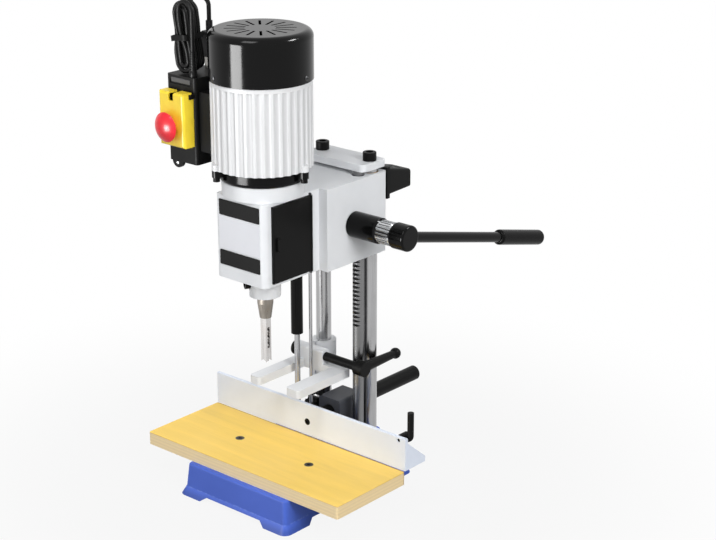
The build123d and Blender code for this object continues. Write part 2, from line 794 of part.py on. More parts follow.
with BuildPart() as motor_bolts:
    for a in lug_spots:
        reach = lug_reach - lug_width / 2
        with Locations((reach * math.cos(a), spindle_y + reach * math.sin(a), flange_z + flange_height / 2)):
            Cylinder(motor_bolt_r, flange_height / 2 + motor_bolt_head, align=UP)
            Cylinder(motor_bolt_head_r, motor_bolt_head, align=DOWN)

with BuildPart() as motor_housing:
    with BuildSketch(Plane.XY.offset(housing_z)):
        with Locations((0, spindle_y)):
            Circle(housing_r)
            with PolarLocations(housing_r - flute_depth + flute_r, flute_count):
                Circle(flute_r, mode=Mode.SUBTRACT)
    extrude(amount=housing_height - shield_thickness)
    with BuildSketch(Plane.XY.offset(cover_z - shield_thickness)):
        with Locations((0, spindle_y)):
            Circle(housing_r)
    extrude(amount=shield_thickness)
    with BuildSketch(Plane.XY.offset(housing_z)):
        with Locations((0, spindle_y)):
            with PolarLocations(lug_reach / 2, lug_count, lug_turn):
                SlotOverall(lug_reach, lug_width)
    extrude(amount=motor_bolt_head + 2)
    with Locations((0, spindle_y, housing_z)):
        Cylinder(housing_bore_r, housing_height - shield_thickness, align=UP, mode=Mode.SUBTRACT)
    with Locations((0, spindle_y, upper_bearing_z)):
        Cylinder(bearing_r + 4, bearing_height - 1, align=UP)
        Cylinder(bearing_r, bearing_height, align=UP, mode=Mode.SUBTRACT)
        Cylinder(shaft_motor_r + pass_gap, 2 * bearing_height, align=UP, mode=Mode.SUBTRACT)
    with Locations(*[((lug_reach - lug_width / 2) * math.cos(a),
                      spindle_y + (lug_reach - lug_width / 2) * math.sin(a), housing_z) for a in lug_spots]):
        Cylinder(motor_bolt_r, motor_bolt_head, align=UP, mode=Mode.SUBTRACT)

stator_z = housing_z + (housing_height - shield_thickness - stator_height) / 2
with BuildPart() as motor_stator:
    with Locations((0, spindle_y, stator_z)):
        Cylinder(housing_bore_r, stator_height, align=UP)
        Cylinder(stator_r, stator_height, align=UP, mode=Mode.SUBTRACT)

with BuildPart() as motor_bearings:
    with Locations((0, spindle_y, lower_bearing_z), (0, spindle_y, upper_bearing_z)):
        Cylinder(bearing_r, bearing_height, align=UP)
        Cylinder(shaft_motor_r + running_fit, bearing_height, align=UP, mode=Mode.SUBTRACT)

with BuildPart() as fan_cover:
    with BuildSketch(Plane.XZ.offset(-spindle_y)):
        with BuildLine():
            wall_line = Line((cover_r, cover_z), (cover_r, motor_top - cover_shoulder))
            shoulder = TangentArc(wall_line @ 1, (cover_crown_r, motor_top), tangent=wall_line % 1)
            Polyline(shoulder @ 1, (0, motor_top), (0, cover_z), wall_line @ 0)
        make_face()
    revolve(axis=Axis((0, spindle_y, 0), (0, 0, 1)))
    with Locations((0, spindle_y, cover_z)):
        Cone(cover_r - cover_wall, cover_crown_r - cover_wall, cover_height - cover_wall,
             align=UP, mode=Mode.SUBTRACT)
    with BuildSketch(Plane.XY.offset(motor_top)):
        with Locations((0, spindle_y)):
            with PolarLocations(vent_inner_r + vent_length / 2, vent_count):
                SlotOverall(vent_length, vent_width)
    extrude(amount=-2 * cover_wall, mode=Mode.SUBTRACT)

# Turning parts on the motor shaft: rotor, fan, drill chuck and auger bit
fan_z = cover_z + fan_lift
with BuildPart() as motor_shaft:
    with Locations((0, spindle_y, chuck_z + chuck_height / 2)):
        Cylinder(shaft_motor_r, fan_z + fan_height - chuck_z - chuck_height / 2, align=UP)
    with Locations((0, spindle_y, stator_z)):
        Cylinder(stator_r - rotor_gap, stator_height, align=UP)

with BuildPart() as cooling_fan:
    with Locations((0, spindle_y, fan_z)):
        Cylinder(fan_r, fan_plate, align=UP)
        Cylinder(fan_hub_r, fan_height, align=UP)
    with BuildSketch(Plane.XY.offset(fan_z)):
        with Locations((0, spindle_y)):
            with PolarLocations((fan_r + fan_hub_r) / 2 - 1, fan_blades):
                Rectangle(fan_r - fan_hub_r, fan_plate)
    extrude(amount=fan_height)
    with Locations((0, spindle_y, fan_z)):
        Cylinder(shaft_motor_r, fan_height, align=UP, mode=Mode.SUBTRACT)

with BuildPart() as drill_chuck:
    with Locations((0, spindle_y, chuck_z + chuck_taper)):
        Cylinder(chuck_r, chuck_height - chuck_taper, align=UP)
    with Locations((0, spindle_y, chuck_z)):
        Cone(chuck_r / 2, chuck_r, chuck_taper, align=UP)
    with Locations((0, spindle_y, chuck_z)):
        Cylinder(bit_r, chuck_height, align=UP, mode=Mode.SUBTRACT)
    with Locations((0, spindle_y, chuck_z + chuck_height / 2)):
        Cylinder(shaft_motor_r, chuck_height, align=UP, mode=Mode.SUBTRACT)
    with BuildSketch(Plane.XY.offset(chuck_z + chuck_height * 0.45)):
        with Locations((0, spindle_y)):
            with PolarLocations(chuck_r, 24):
                Rectangle(1.2, 1.6)
    extrude(amount=-chuck_height * 0.2, mode=Mode.SUBTRACT)

with BuildPart() as auger_bit:
    with Locations((0, spindle_y, chisel_bottom)):
        Cylinder(bit_r, chuck_z + chuck_height / 2 - chisel_bottom, align=UP)
        Cone(bit_r / 6, bit_r, bit_spur, align=DOWN)

# Feed lever: pinion shaft through the carriage's right wall, hub, chrome ring, end boss, rod and grip
base_circle_r = pinion_r * math.cos(pressure_angle)
tip_r = pinion_r + module
root_r = pinion_r - 1.25 * module
pitch_half_angle = (math.pi / 2 - backlash / (2 * module)) / pinion_teeth


def involute(radius):
    """Involute function of the pressure angle that a tooth flank has at a radius."""
    angle = math.acos(min(1.0, base_circle_r / radius))
    return math.tan(angle) - angle


flank_radii = [base_circle_r + (tip_r - base_circle_r) * i / 4 for i in range(5)]
flank = [(root_r, pitch_half_angle + involute(pinion_r))]
flank += [(r, pitch_half_angle + involute(pinion_r) - involute(r)) for r in flank_radii]
tooth_shape = [(r, -a) for r, a in flank] + [(r, a) for r, a in reversed(flank)]
hub_x = carriage_half + running_fit
ring_x = hub_x + hub_length
boss_x = ring_x + ring_length
lever_spot = Plane(
    origin=(lever_x, hub_y, hub_z),
    z_dir=(0, math.cos(math.radians(lever_drop)), -math.sin(math.radians(lever_drop))),
)
with BuildPart() as pinion_shaft:
    with BuildSketch(Plane.YZ.offset(web_right - web_thickness)):
        with Locations((hub_y, hub_z)):
            Circle(shaft_r)
    extrude(amount=boss_x + boss_length / 4 - web_right + web_thickness)
    with BuildSketch(Plane.YZ.offset(rack_x - pinion_width / 2)):
        with Locations((hub_y, hub_z)):
            Circle(root_r)
            with PolarLocations(0, pinion_teeth):
                Polygon(*[(r * math.cos(a), r * math.sin(a)) for r, a in tooth_shape], align=None)
    extrude(amount=pinion_width)


with BuildPart() as lever_hub:
    with BuildSketch(Plane.YZ.offset(hub_x)):
        with Locations((hub_y, hub_z)):
            Circle(hub_r)
            Circle(shaft_r, mode=Mode.SUBTRACT)
    extrude(amount=hub_length)
    chamfer(lever_hub.edges().filter_by(GeomType.CIRCLE).sort_by(SortBy.RADIUS)[-2:], 1)

with BuildPart() as hub_ring:
    with BuildSketch(Plane.YZ.offset(ring_x)):
        with Locations((hub_y, hub_z)):
            Circle(ring_r)
            Circle(shaft_r, mode=Mode.SUBTRACT)
    extrude(amount=ring_length)

with BuildPart() as lever_boss:
    with BuildSketch(Plane.YZ.offset(boss_x)):
        with Locations((hub_y, hub_z)):
            Circle(boss_r)
    extrude(amount=boss_length)
    fillet(lever_boss.edges().filter_by(GeomType.CIRCLE), boss_edge)
    with BuildSketch(Plane.YZ.offset(boss_x)):
        with Locations((hub_y, hub_z)):
            Circle(shaft_r)
    extrude(amount=boss_length / 4, mode=Mode.SUBTRACT)
    with BuildSketch(lever_spot.offset(lever_socket)):
        Circle(lever_r)
    extrude(amount=boss_r, mode=Mode.SUBTRACT)

with BuildPart() as lever_rod:
    with BuildSketch(lever_spot.offset(lever_socket)):
        Circle(lever_r)
    extrude(amount=lever_length - lever_socket - grip_edge)

with BuildPart() as lever_grip:
    with BuildSketch(lever_spot.offset(lever_length - grip_length)):
        Circle(grip_r)
    extrude(amount=grip_length)
    fillet(lever_grip.edges(), grip_edge)
    with BuildSketch(lever_spot.offset(lever_length - grip_length)):
        Circle(lever_r)
    extrude(amount=grip_length - grip_edge, mode=Mode.SUBTRACT)

# Hold-down: a fork on the left column, split and clamped by a long bolt with a lever
fork_front_y = spindle_y + fork_front
bridge_front_y = spindle_y + fork_bridge_front
bridge_rear_y = spindle_y + fork_bridge_rear
collar_x = -column_x
right_arm_left = fork_right - fork_right_arm
with BuildPart() as hold_down_fork:
    with BuildSketch(Plane.XY.offset(fork_bottom)) as fork_outline:
        with Locations(((fork_left + fork_right) / 2, (bridge_front_y + bridge_rear_y) / 2)):
            Rectangle(fork_right - fork_left, bridge_rear_y - bridge_front_y)
        with Locations((fork_left + fork_arm / 2, (fork_front_y + bridge_rear_y) / 2)):
            Rectangle(fork_arm, bridge_rear_y - fork_front_y)
        with Locations((fork_right - fork_right_arm / 2, (fork_front_y + bridge_rear_y) / 2)):
            Rectangle(fork_right_arm, bridge_rear_y - fork_front_y)
        with Locations((collar_x, (bridge_front_y + column_y) / 2)):
            Rectangle(2 * (collar_x - fork_left), column_y - bridge_front_y)
        fillet(fork_outline.vertices().group_by(Axis.Y)[0], fork_arm / 4)
    extrude(amount=fork_thickness)
    with Locations((collar_x, column_y, collar_bottom)):
        Cylinder(collar_r, collar_height, align=UP)
    with BuildSketch(Plane.YZ.offset(fork_left)):
        with Locations((clamp_y, (fork_bottom + clamp_top) / 2)):
            RectangleRounded(bridge_rear_y - bridge_front_y, clamp_top - fork_bottom, 3)
    extrude(amount=clamp_block)
    with Locations((collar_x, column_y, collar_bottom)):
        Cylinder(column_r + running_fit, collar_height, align=UP, mode=Mode.SUBTRACT)
    with Locations((collar_x, (column_y + bridge_rear_y) / 2, collar_bottom)):
        Box(collar_slot, column_y - bridge_rear_y, collar_height, align=UP, mode=Mode.SUBTRACT)
    with BuildSketch(Plane.YZ.offset(fork_left)):
        with Locations((clamp_y, clamp_z)):
            Circle(clamp_bolt_r + running_fit)
    extrude(amount=clamp_block, mode=Mode.SUBTRACT)

clamp_arm_x = column_x + column_r + clamp_arm_r + 2 * pass_gap
clamp_spot = Plane(origin=(clamp_arm_x, clamp_y, clamp_z), z_dir=(0, 1, 0))
with BuildPart() as clamp_lever:
    with BuildSketch(Plane.YZ.offset(fork_left - slide_gap - clamp_washer)):
        with Locations((clamp_y, clamp_z)):
            Circle(clamp_hub_r)
    extrude(amount=clamp_washer)
    with BuildSketch(Plane.YZ.offset(fork_left - slide_gap)):
        with Locations((clamp_y, clamp_z)):
            Circle(clamp_bolt_r)
    extrude(amount=clamp_arm_x - fork_left)
    with BuildSketch(Plane.YZ.offset(fork_left + clamp_block + slide_gap)):
        with Locations((clamp_y, clamp_z)):
            Circle(clamp_sleeve_r)
    extrude(amount=clamp_arm_x - fork_left - clamp_block)
    with BuildSketch(Plane.YZ.offset(clamp_arm_x - clamp_hub_length / 2)):
        with Locations((clamp_y, clamp_z)):
            Circle(clamp_hub_r)
    extrude(amount=clamp_hub_length)
    with BuildSketch(clamp_spot):
        Circle(clamp_arm_r)
    with BuildSketch(clamp_spot.offset(clamp_arm)):
        Circle(clamp_tip_r)
    loft()
    with Locations((clamp_arm_x, clamp_y + clamp_arm, clamp_z)):
        Sphere(clamp_ball_r)

# Fence: an upright plate with end gussets, carried by a round bar that slides in the guide block
fence_low = table_top + slide_gap
fence_top = table_top + fence_height
fence_back_y = fence_y + fence_thickness
with BuildPart() as fence_plate:
    with Locations((0, fence_y, fence_low)):
        Box(table_width, fence_thickness, fence_top - fence_low, align=(Align.CENTER, Align.MIN, Align.MIN))
    chamfer(fence_plate.faces().sort_by(Axis.Z)[-1].edges().filter_by(Axis.X), 1)
    for side in (-1, 1):
        with BuildSketch(Plane.YZ.offset(side * (table_width - gusset_thickness) / 2)):
            with BuildLine():
                Polyline(
                    (fence_back_y - 1, fence_low),
                    (fence_back_y + gusset_depth, fence_low),
                    (fence_back_y + gusset_depth, fence_low + gusset_rear_height),
                    (fence_back_y, fence_top - gusset_top_drop),
                    (fence_back_y - 1, fence_top - gusset_top_drop),
                    close=True,
                )
            make_face()
        extrude(amount=gusset_thickness / 2, both=True)
    with BuildSketch(Plane.XZ.offset(-fence_y)):
        with Locations((0, bar_z)):
            Circle(bar_screw_r)
    extrude(amount=-fence_thickness, mode=Mode.SUBTRACT)
    with BuildSketch(Plane.XZ.offset(-fence_y)):
        with Locations((0, bar_z)):
            Circle(bar_screw_head_r)
    extrude(amount=-fence_thickness / 2, mode=Mode.SUBTRACT)
    with BuildSketch(Plane.XZ.offset(-fence_y)):
        with Locations((fence_lever_x, fence_lever_z)):
            Circle(fence_lever_stud_r + running_fit)
    extrude(amount=-fence_thickness, mode=Mode.SUBTRACT)

with BuildPart() as fence_bar:
    with BuildSketch(Plane.XZ.offset(-fence_back_y)):
        with Locations((0, bar_z)):
            Circle(bar_r)
    extrude(amount=-(spindle_y + bar_end - fence_back_y))
    chamfer(fence_bar.edges(), 1)
    with BuildSketch(Plane.XZ.offset(-fence_back_y)):
        with Locations((0, bar_z)):
            Circle(bar_screw_r)
    extrude(amount=-bar_screw_depth, mode=Mode.SUBTRACT)

with BuildPart() as fence_screw:
    with BuildSketch(Plane.XZ.offset(-fence_y)):
        with Locations((0, bar_z)):
            Circle(bar_screw_head_r)
    extrude(amount=-fence_thickness / 2)
    with BuildSketch(Plane.XZ.offset(-fence_y)):
        with Locations((0, bar_z)):
            Circle(bar_screw_r)
    extrude(amount=-(fence_thickness + bar_screw_depth))
    with BuildSketch(Plane.XZ.offset(-fence_y)):
        with Locations((0, bar_z)):
            RegularPolygon(bar_screw_r, 6)
    extrude(amount=-fence_thickness / 3, mode=Mode.SUBTRACT)

with BuildPart() as bar_guide:
    with Locations((0, block_front_y, base_height)):
        Box(block_width, block_length, bar_z + bar_r + block_top - base_height,
            align=(Align.CENTER, Align.MIN, Align.MIN))
    fillet(bar_guide.edges().filter_by(Axis.Y).group_by(Axis.Z)[-1], 4)
    with BuildSketch(Plane.XZ.offset(-block_front_y)):
        with Locations((0, bar_z)):
            Circle(bar_r + running_fit)
    extrude(amount=-block_length, mode=Mode.SUBTRACT)
    with BuildSketch(Plane.YZ.offset(-block_width / 2)):
        with Locations((knob_y, bar_z)):
            Circle(knob_stem_r + running_fit)
    extrude(amount=block_width / 2, mode=Mode.SUBTRACT)

with BuildPart() as bar_lock_knob:
    with BuildSketch(Plane.YZ.offset(-bar_r - slide_gap)):
        with Locations((knob_y, bar_z)):
            Circle(knob_stem_r)
    extrude(amount=-(block_width / 2 - bar_r + knob_stem))
    with BuildSketch(Plane.YZ.offset(-block_width / 2 - knob_stem)):
        with Locations((knob_y, bar_z)):
            Circle(knob_r)
            with PolarLocations(knob_r, 6):
                Circle(knob_r / 4, mode=Mode.SUBTRACT)
    extrude(amount=-knob_length)

with BuildPart() as fence_lever:
    with BuildSketch(Plane.XZ.offset(-fence_lever_y)):
        with Locations((fence_lever_x, fence_lever_z)):
            Circle(fence_lever_hub_r)
    extrude(amount=-fence_lever_hub)
    with BuildSketch(Plane.XZ.offset(-fence_lever_y)):
        with Locations((fence_lever_x, fence_lever_z)):
            Circle(fence_lever_stud_r)
    extrude(amount=fence_thickness - pass_gap)
    arm_y = fence_lever_y + fence_lever_hub / 2
    with BuildLine() as lever_route:
        FilletPolyline(
            (fence_lever_x, arm_y, fence_lever_z),
            (fence_lever_x + fence_lever_foot, arm_y, fence_lever_z),
            (fence_lever_x + fence_lever_foot, arm_y, fence_lever_z + fence_lever_rise),
            radius=fence_lever_bend,
        )
    with BuildSketch(Plane(origin=(fence_lever_x, arm_y, fence_lever_z), z_dir=(1, 0, 0))):
        Circle(fence_lever_r)
    sweep(path=lever_route.line)

# Switch: box on a bracket beside the motor, flap with a mushroom stop, two buttons under the flap
with BuildPart() as switch_bracket:
    with Locations((switch_right, spindle_y - bracket_depth / 2 - 8, switch_bottom + switch_height / 2)):
        Box(bracket_reach, bracket_depth, bracket_height, align=(Align.MIN, Align.CENTER, Align.CENTER))
    with Locations((0, spindle_y, housing_z)):
        Cylinder(housing_r, housing_height, align=UP, mode=Mode.SUBTRACT)

button_x = switch_x
button_spots = {
    "start": flap_top - flap_wall - button_gap - button_height / 2,
    "stop": flap_bottom + flap_wall + button_gap + button_height / 2,
}
button_pocket = button_travel + slide_gap + switch_wall
with BuildPart() as switch_box:
    with Locations((switch_x, switch_mid_y, switch_bottom)):
        Box(switch_width, switch_depth, switch_height, align=UP)
    fillet(switch_box.edges().filter_by(Axis.Z), switch_edge)
    with Locations((switch_x, switch_mid_y, switch_bottom + switch_wall)):
        Box(switch_width - 2 * switch_wall, switch_depth - 4 * switch_wall, switch_height - 2 * switch_wall,
            align=UP, mode=Mode.SUBTRACT)
    with Locations((switch_x, switch_front_y, switch_top - 3 * switch_wall)):
        Box(switch_width - 4 * switch_wall, switch_wall, 2 * switch_wall, mode=Mode.SUBTRACT)
    with Locations((switch_x - switch_width / 4, switch_front_y + switch_ear / 2, switch_bottom)):
        Cylinder(switch_ear, switch_ear / 2, rotation=(90, 0, 0))
    for spot_z in button_spots.values():
        with Locations((button_x, switch_front_y, spot_z)):
            Box(button_width + 2 * slide_gap, 6 * switch_wall, button_height + 2 * slide_gap,
                mode=Mode.SUBTRACT)
    with BuildSketch(Plane.XZ.offset(-switch_front_y)):
        with Locations((switch_x - switch_width / 4, switch_bottom - switch_ear / 3)):
            Circle(switch_screw_r / 2)
    extrude(amount=-switch_ear, mode=Mode.SUBTRACT)


def push_button(spot_z):
    """A rectangular push button in its pocket in the box's front."""
    with BuildPart() as button:
        with Locations((button_x, switch_front_y - button_proud, spot_z)):
            Box(button_width, button_proud + switch_wall, button_height,
                align=(Align.CENTER, Align.MIN, Align.CENTER))
        fillet(button.faces().sort_by(Axis.Y)[0].edges(), 1.5)
    return button


start_button = push_button(button_spots["start"])
stop_button = push_button(button_spots["stop"])

with BuildPart() as switch_flap:
    with Locations((switch_x, flap_front_y, flap_bottom)):
        Box(flap_width, flap_depth, flap_height, align=(Align.CENTER, Align.MIN, Align.MIN))
    fillet(switch_flap.faces().sort_by(Axis.Y)[0].edges(), flap_edge)
    with Locations((switch_x, flap_front_y + flap_wall, flap_bottom + flap_wall)):
        Box(flap_width - 2 * flap_wall, flap_depth, flap_height - 2 * flap_wall,
            align=(Align.CENTER, Align.MIN, Align.MIN), mode=Mode.SUBTRACT)
    with Locations((switch_x, flap_front_y, flap_top)):
        Box(flap_notch_width, 2 * flap_depth, 2 * flap_notch_height, mode=Mode.SUBTRACT)
    with BuildSketch(Plane.XZ.offset(-flap_front_y)):
        with Locations((switch_x, mushroom_z)):
            Circle(mushroom_stem_r + running_fit)
    extrude(amount=-2 * flap_wall, mode=Mode.SUBTRACT)
    with BuildSketch(Plane.YZ.offset(switch_x - flap_width / 2)):
        with Locations((flap_pin_y, flap_pin_z)):
            Circle(flap_pin_r + running_fit)
    extrude(amount=flap_width, mode=Mode.SUBTRACT)
    with Locations((switch_x, flap_pin_y + flap_pin_r + pass_gap, flap_pin_z)):
        Box(2 * flap_width, flap_depth, flap_height, align=(Align.CENTER, Align.MIN, Align.MIN),
            mode=Mode.SUBTRACT)

with BuildPart() as flap_pin:
    flap_pin_half = flap_width / 2 + slide_gap + flap_pin_lug
    with BuildSketch(Plane.YZ.offset(switch_x - flap_pin_half)):
        with Locations((flap_pin_y, flap_pin_z)):
            Circle(flap_pin_r)
    extrude(amount=2 * flap_pin_half)
    for side in (-1, 1):
        lug_x = switch_x + side * (flap_pin_half - flap_pin_lug / 2)
        with Locations((lug_x, flap_pin_y - flap_pin_r - 1, flap_pin_z)):
            Box(flap_pin_lug, flap_pin_reach + flap_pin_r + 1, 2 * flap_pin_r + 2,
                align=(Align.CENTER, Align.MIN, Align.CENTER))

with BuildPart() as mushroom_stop:
    with BuildSketch(Plane.YZ.offset(switch_x)):
        with BuildLine():
            front_y = flap_front_y - mushroom_travel - slide_gap - mushroom_height
            skirt = Line((front_y + mushroom_height, mushroom_z + mushroom_stem_r + 4),
                         (front_y + mushroom_height * 0.6, mushroom_z + mushroom_r))
            dome_rise = mushroom_height * 0.6
            dome_r = (mushroom_r**2 + dome_rise**2) / (2 * dome_rise)
            half_arc = math.asin(mushroom_r / dome_r) / 2
            dome_mid = (front_y + dome_r * (1 - math.cos(half_arc)), mushroom_z + dome_r * math.sin(half_arc))
            dome = ThreePointArc(skirt @ 1, dome_mid, (front_y, mushroom_z))
            Polyline(dome @ 1, (front_y + mushroom_height, mushroom_z), skirt @ 0)
        make_face()
    revolve(axis=Axis((switch_x, 0, mushroom_z), (0, 1, 0)))
    with BuildSketch(Plane.XZ.offset(-(front_y + mushroom_height))):
        with Locations((switch_x, mushroom_z)):
            Circle(mushroom_stem_r)
    extrude(amount=-(mushroom_travel + slide_gap + 2 * flap_wall))

# Mains cord: a gland on the box, a short lead, a standing hank of loops, and a lead to the plug behind it
cord_r = cord_d / 2
hank_x = switch_x - switch_width / 2 + hank_offset
hank_y = switch_front_y + hank_front
hank_outer = hank_inner + hank_step
hank_low = switch_top + slide_gap + cord_r + hank_outer
hank_high = hank_low + hank_run


def side_x(side, ring):
    """X of a run: side is +1 or -1, ring 0 is the inner loop and 1 the outer."""
    return hank_x + side * (hank_inner + ring * hank_step)


def layer_y(layer):
    """Y of a layer of loops, counted from the lead's layer in front."""
    return hank_y + layer * hank_step


# Each run of the hank: side, ring, layer where it starts and layer where it ends
hank_runs = [
    (1, 0, 0, 1), (-1, 0, 1, 1), (1, 1, 1, 1), (-1, 1, 1, 2), (1, 1, 2, 2), (-1, 0, 2, 2),
    (1, 0, 2, 3), (-1, 0, 3, 3), (1, 1, 3, 3), (-1, 1, 3, 4), (1, 1, 4, 4), (-1, 0, 4, 5),
]


def run_points(side, ring, first, last, down):
    """Corner points of one run that is drawn in at the waist and climbs between its layers there."""
    outer_x = side_x(side, ring)
    waist_x = outer_x - side * hank_waist
    waist_y = (layer_y(first) + layer_y(last)) / 2
    mid = (hank_low + hank_high) / 2
    flat = tie_height / 2 + 1
    heights = [hank_high, mid + flat + hank_bend, mid + flat, mid - flat, mid - flat - hank_bend, hank_low]
    if not down:
        heights.reverse()
    places = [(outer_x, layer_y(first))] * 2 + [(waist_x, waist_y)] * 2 + [(outer_x, layer_y(last))] * 2
    return [Vector(x, y, z) for (x, y), z in zip(places, heights)]


def side_step(start, end, heading):
    """Two equal tangent arcs that shift a run sideways."""
    middle = (start + end) * 0.5
    first = TangentArc(start, middle, tangent=heading)
    TangentArc(middle, end, tangent=first % 1)


with BuildLine() as hank_route:
    last_end = None
    for index, (side, ring, first, last) in enumerate(hank_runs):
        down = index % 2 == 0
        heading = Vector(0, 0, -1 if down else 1)
        p = run_points(side, ring, first, last, down)
        if last_end is not None:
            turn_r = abs(p[0].X - last_end.X) / 2
            turn_z = hank_high + turn_r if down else hank_low - turn_r
            ThreePointArc(last_end, Vector((last_end.X + p[0].X) / 2, p[0].Y, turn_z), p[0])
        Line(p[0], p[1])
        side_step(p[1], p[2], heading)
        Line(p[2], p[3])
        side_step(p[3], p[4], heading)
        Line(p[4], p[5])
        last_end = p[5]

hank_wire = hank_route.wire()
with BuildPart() as cord_hank:
    with BuildSketch(Plane(origin=hank_wire @ 0, z_dir=(0, 0, -1))):
        Circle(cord_r)
    sweep(path=hank_wire)

hank_length = hank_wire.length
sample_count = int(hank_length)
samples = [hank_wire @ (i / sample_count) for i in range(sample_count + 1)]
near_limit = int(math.pi * hank_inner)
least_gap = min(
    (samples[i] - samples[j]).length
    for i in range(len(samples))
    for j in range(i + near_limit, len(samples))
) - cord_d
print(f"hank: length {hank_length:.0f} mm, least gap to itself {least_gap:.2f} mm")

gland_x = switch_right - gland_inset
gland_top = switch_top + gland_height
hank_start = hank_wire @ 0
hank_end = hank_wire @ 1
lead_top = hank_high + lead_rise - hank_outer
lead_points = [
    (gland_x, hank_y, gland_top),
    (gland_x, hank_y, lead_top),
    (hank_start.X, hank_y, lead_top),
    (hank_start.X, hank_start.Y, hank_start.Z),
]
plug_x = hank_end.X + plug_shift
plug_y = hank_end.Y + plug_setback
plug_base = switch_top + blade_length
plug_cord_z = plug_base + plug_height + plug_collar_height
plug_points = [
    (hank_end.X, hank_end.Y, hank_end.Z),
    (hank_end.X, hank_end.Y, lead_top),
    (plug_x, plug_y, lead_top),
    (plug_x, plug_y, plug_cord_z),
]


def cord_corner_radii(points):
    """Each corner's arc: 0.45 of the shorter run beside it, divided by the tangent of half the turn."""
    spots = [Vector(*p) for p in points]
    radii = []
    for a, b, c in zip(spots, spots[1:], spots[2:]):
        half_turn = math.radians((b - a).get_angle(c - b)) / 2
        radii.append(0.45 * min((b - a).length, (c - b).length) / math.tan(half_turn))
    return radii


def cord_tube(points):
    """A free stretch of the cord: straight runs joined by tangent arcs."""
    radii = cord_corner_radii(points)
    with BuildPart() as tube:
        with BuildLine() as route:
            FilletPolyline(*points, radius=radii)
        wire = route.wire()
        with BuildSketch(Plane(origin=wire @ 0, z_dir=wire % 0)):
            Circle(cord_r)
        sweep(path=wire)
    share = tube.part.volume / (math.pi * cord_r**2 * wire.length)
    bends = [round(r, 1) for r in radii]
    print(f"cord stretch: {wire.length:.0f} mm, radii {bends}, volume share {share:.4f}")
    return tube


cord_lead = cord_tube(lead_points)
plug_lead = cord_tube(plug_points)

with BuildPart() as cord_gland:
    with Locations((gland_x, hank_y, switch_top)):
        Cylinder(gland_r, gland_height / 4, align=UP)
    with Locations((gland_x, hank_y, switch_top + gland_height / 4)):
        Cone(gland_r - 1, gland_tip_r, gland_height * 3 / 4, align=UP)

with BuildPart() as mains_plug:
    with Locations((plug_x, plug_y, plug_base)):
        Box(plug_width, plug_depth, plug_height, align=UP)
    fillet(mains_plug.edges().filter_by(Axis.Z), 4)
    fillet(mains_plug.faces().sort_by(Axis.Z)[-1].edges(), 3)
    with Locations((plug_x, plug_y, plug_base + plug_height)):
        Cylinder(plug_collar_r, plug_collar_height, align=UP)
    for side in (-1, 1):
        with Locations((plug_x + side * blade_pitch / 2, plug_y, plug_base)):
            Box(blade_thickness, blade_width, blade_length, align=DOWN)

tie_half_x = hank_outer - hank_waist + cord_r + slide_gap
tie_front_y = (layer_y(0) + layer_y(1)) / 2 - cord_r - slide_gap
tie_rear_y = (layer_y(4) + layer_y(5)) / 2 + cord_r + slide_gap
with BuildPart() as cord_tie:
    with BuildSketch(Plane.XY.offset((hank_low + hank_high - tie_height) / 2)):
        with Locations((hank_x, (tie_front_y + tie_rear_y) / 2)):
            RectangleRounded(2 * (tie_half_x + tie_wall), tie_rear_y - tie_front_y + 2 * tie_wall,
                             2 * tie_wall)
            RectangleRounded(2 * tie_half_x, tie_rear_y - tie_front_y, tie_wall, mode=Mode.SUBTRACT)
    extrude(amount=tie_height)

# Tool holder: a tapered block behind the carriage, open above for spare keys
holder_x = carriage_half - holder_width / 2
holder_top = head_top + holder_rise
holder_z = holder_top - holder_height
with BuildPart() as tool_holder:
    with Locations((holder_x, carriage_rear_y, holder_z)):
        Box(holder_width, holder_flange, holder_height, align=(Align.CENTER, Align.MIN, Align.MIN))
    holder_mid_z = holder_z + holder_height / 2
    holder_front = Plane(origin=(holder_x, carriage_rear_y + holder_flange, holder_mid_z),
                         x_dir=(1, 0, 0), z_dir=(0, 1, 0))
    holder_rear = Plane(origin=(holder_x, carriage_rear_y + holder_length, holder_mid_z - holder_sag),
                        x_dir=(1, 0, 0), z_dir=(0, 1, 0))
    with BuildSketch(holder_front):
        RectangleRounded(holder_width - holder_flange, holder_height - holder_flange, 4)
    with BuildSketch(holder_rear):
        RectangleRounded(holder_width - 2 * holder_flange, holder_rear_height, 4)
    loft()
    with Locations((holder_x, carriage_rear_y + holder_flange + holder_length / 2, holder_top)):
        with GridLocations(holder_slot * 1.6, holder_slot * 1.8, 2, 2):
            Cylinder(holder_slot / 2, holder_height / 2 + holder_flange, align=DOWN, mode=Mode.SUBTRACT)

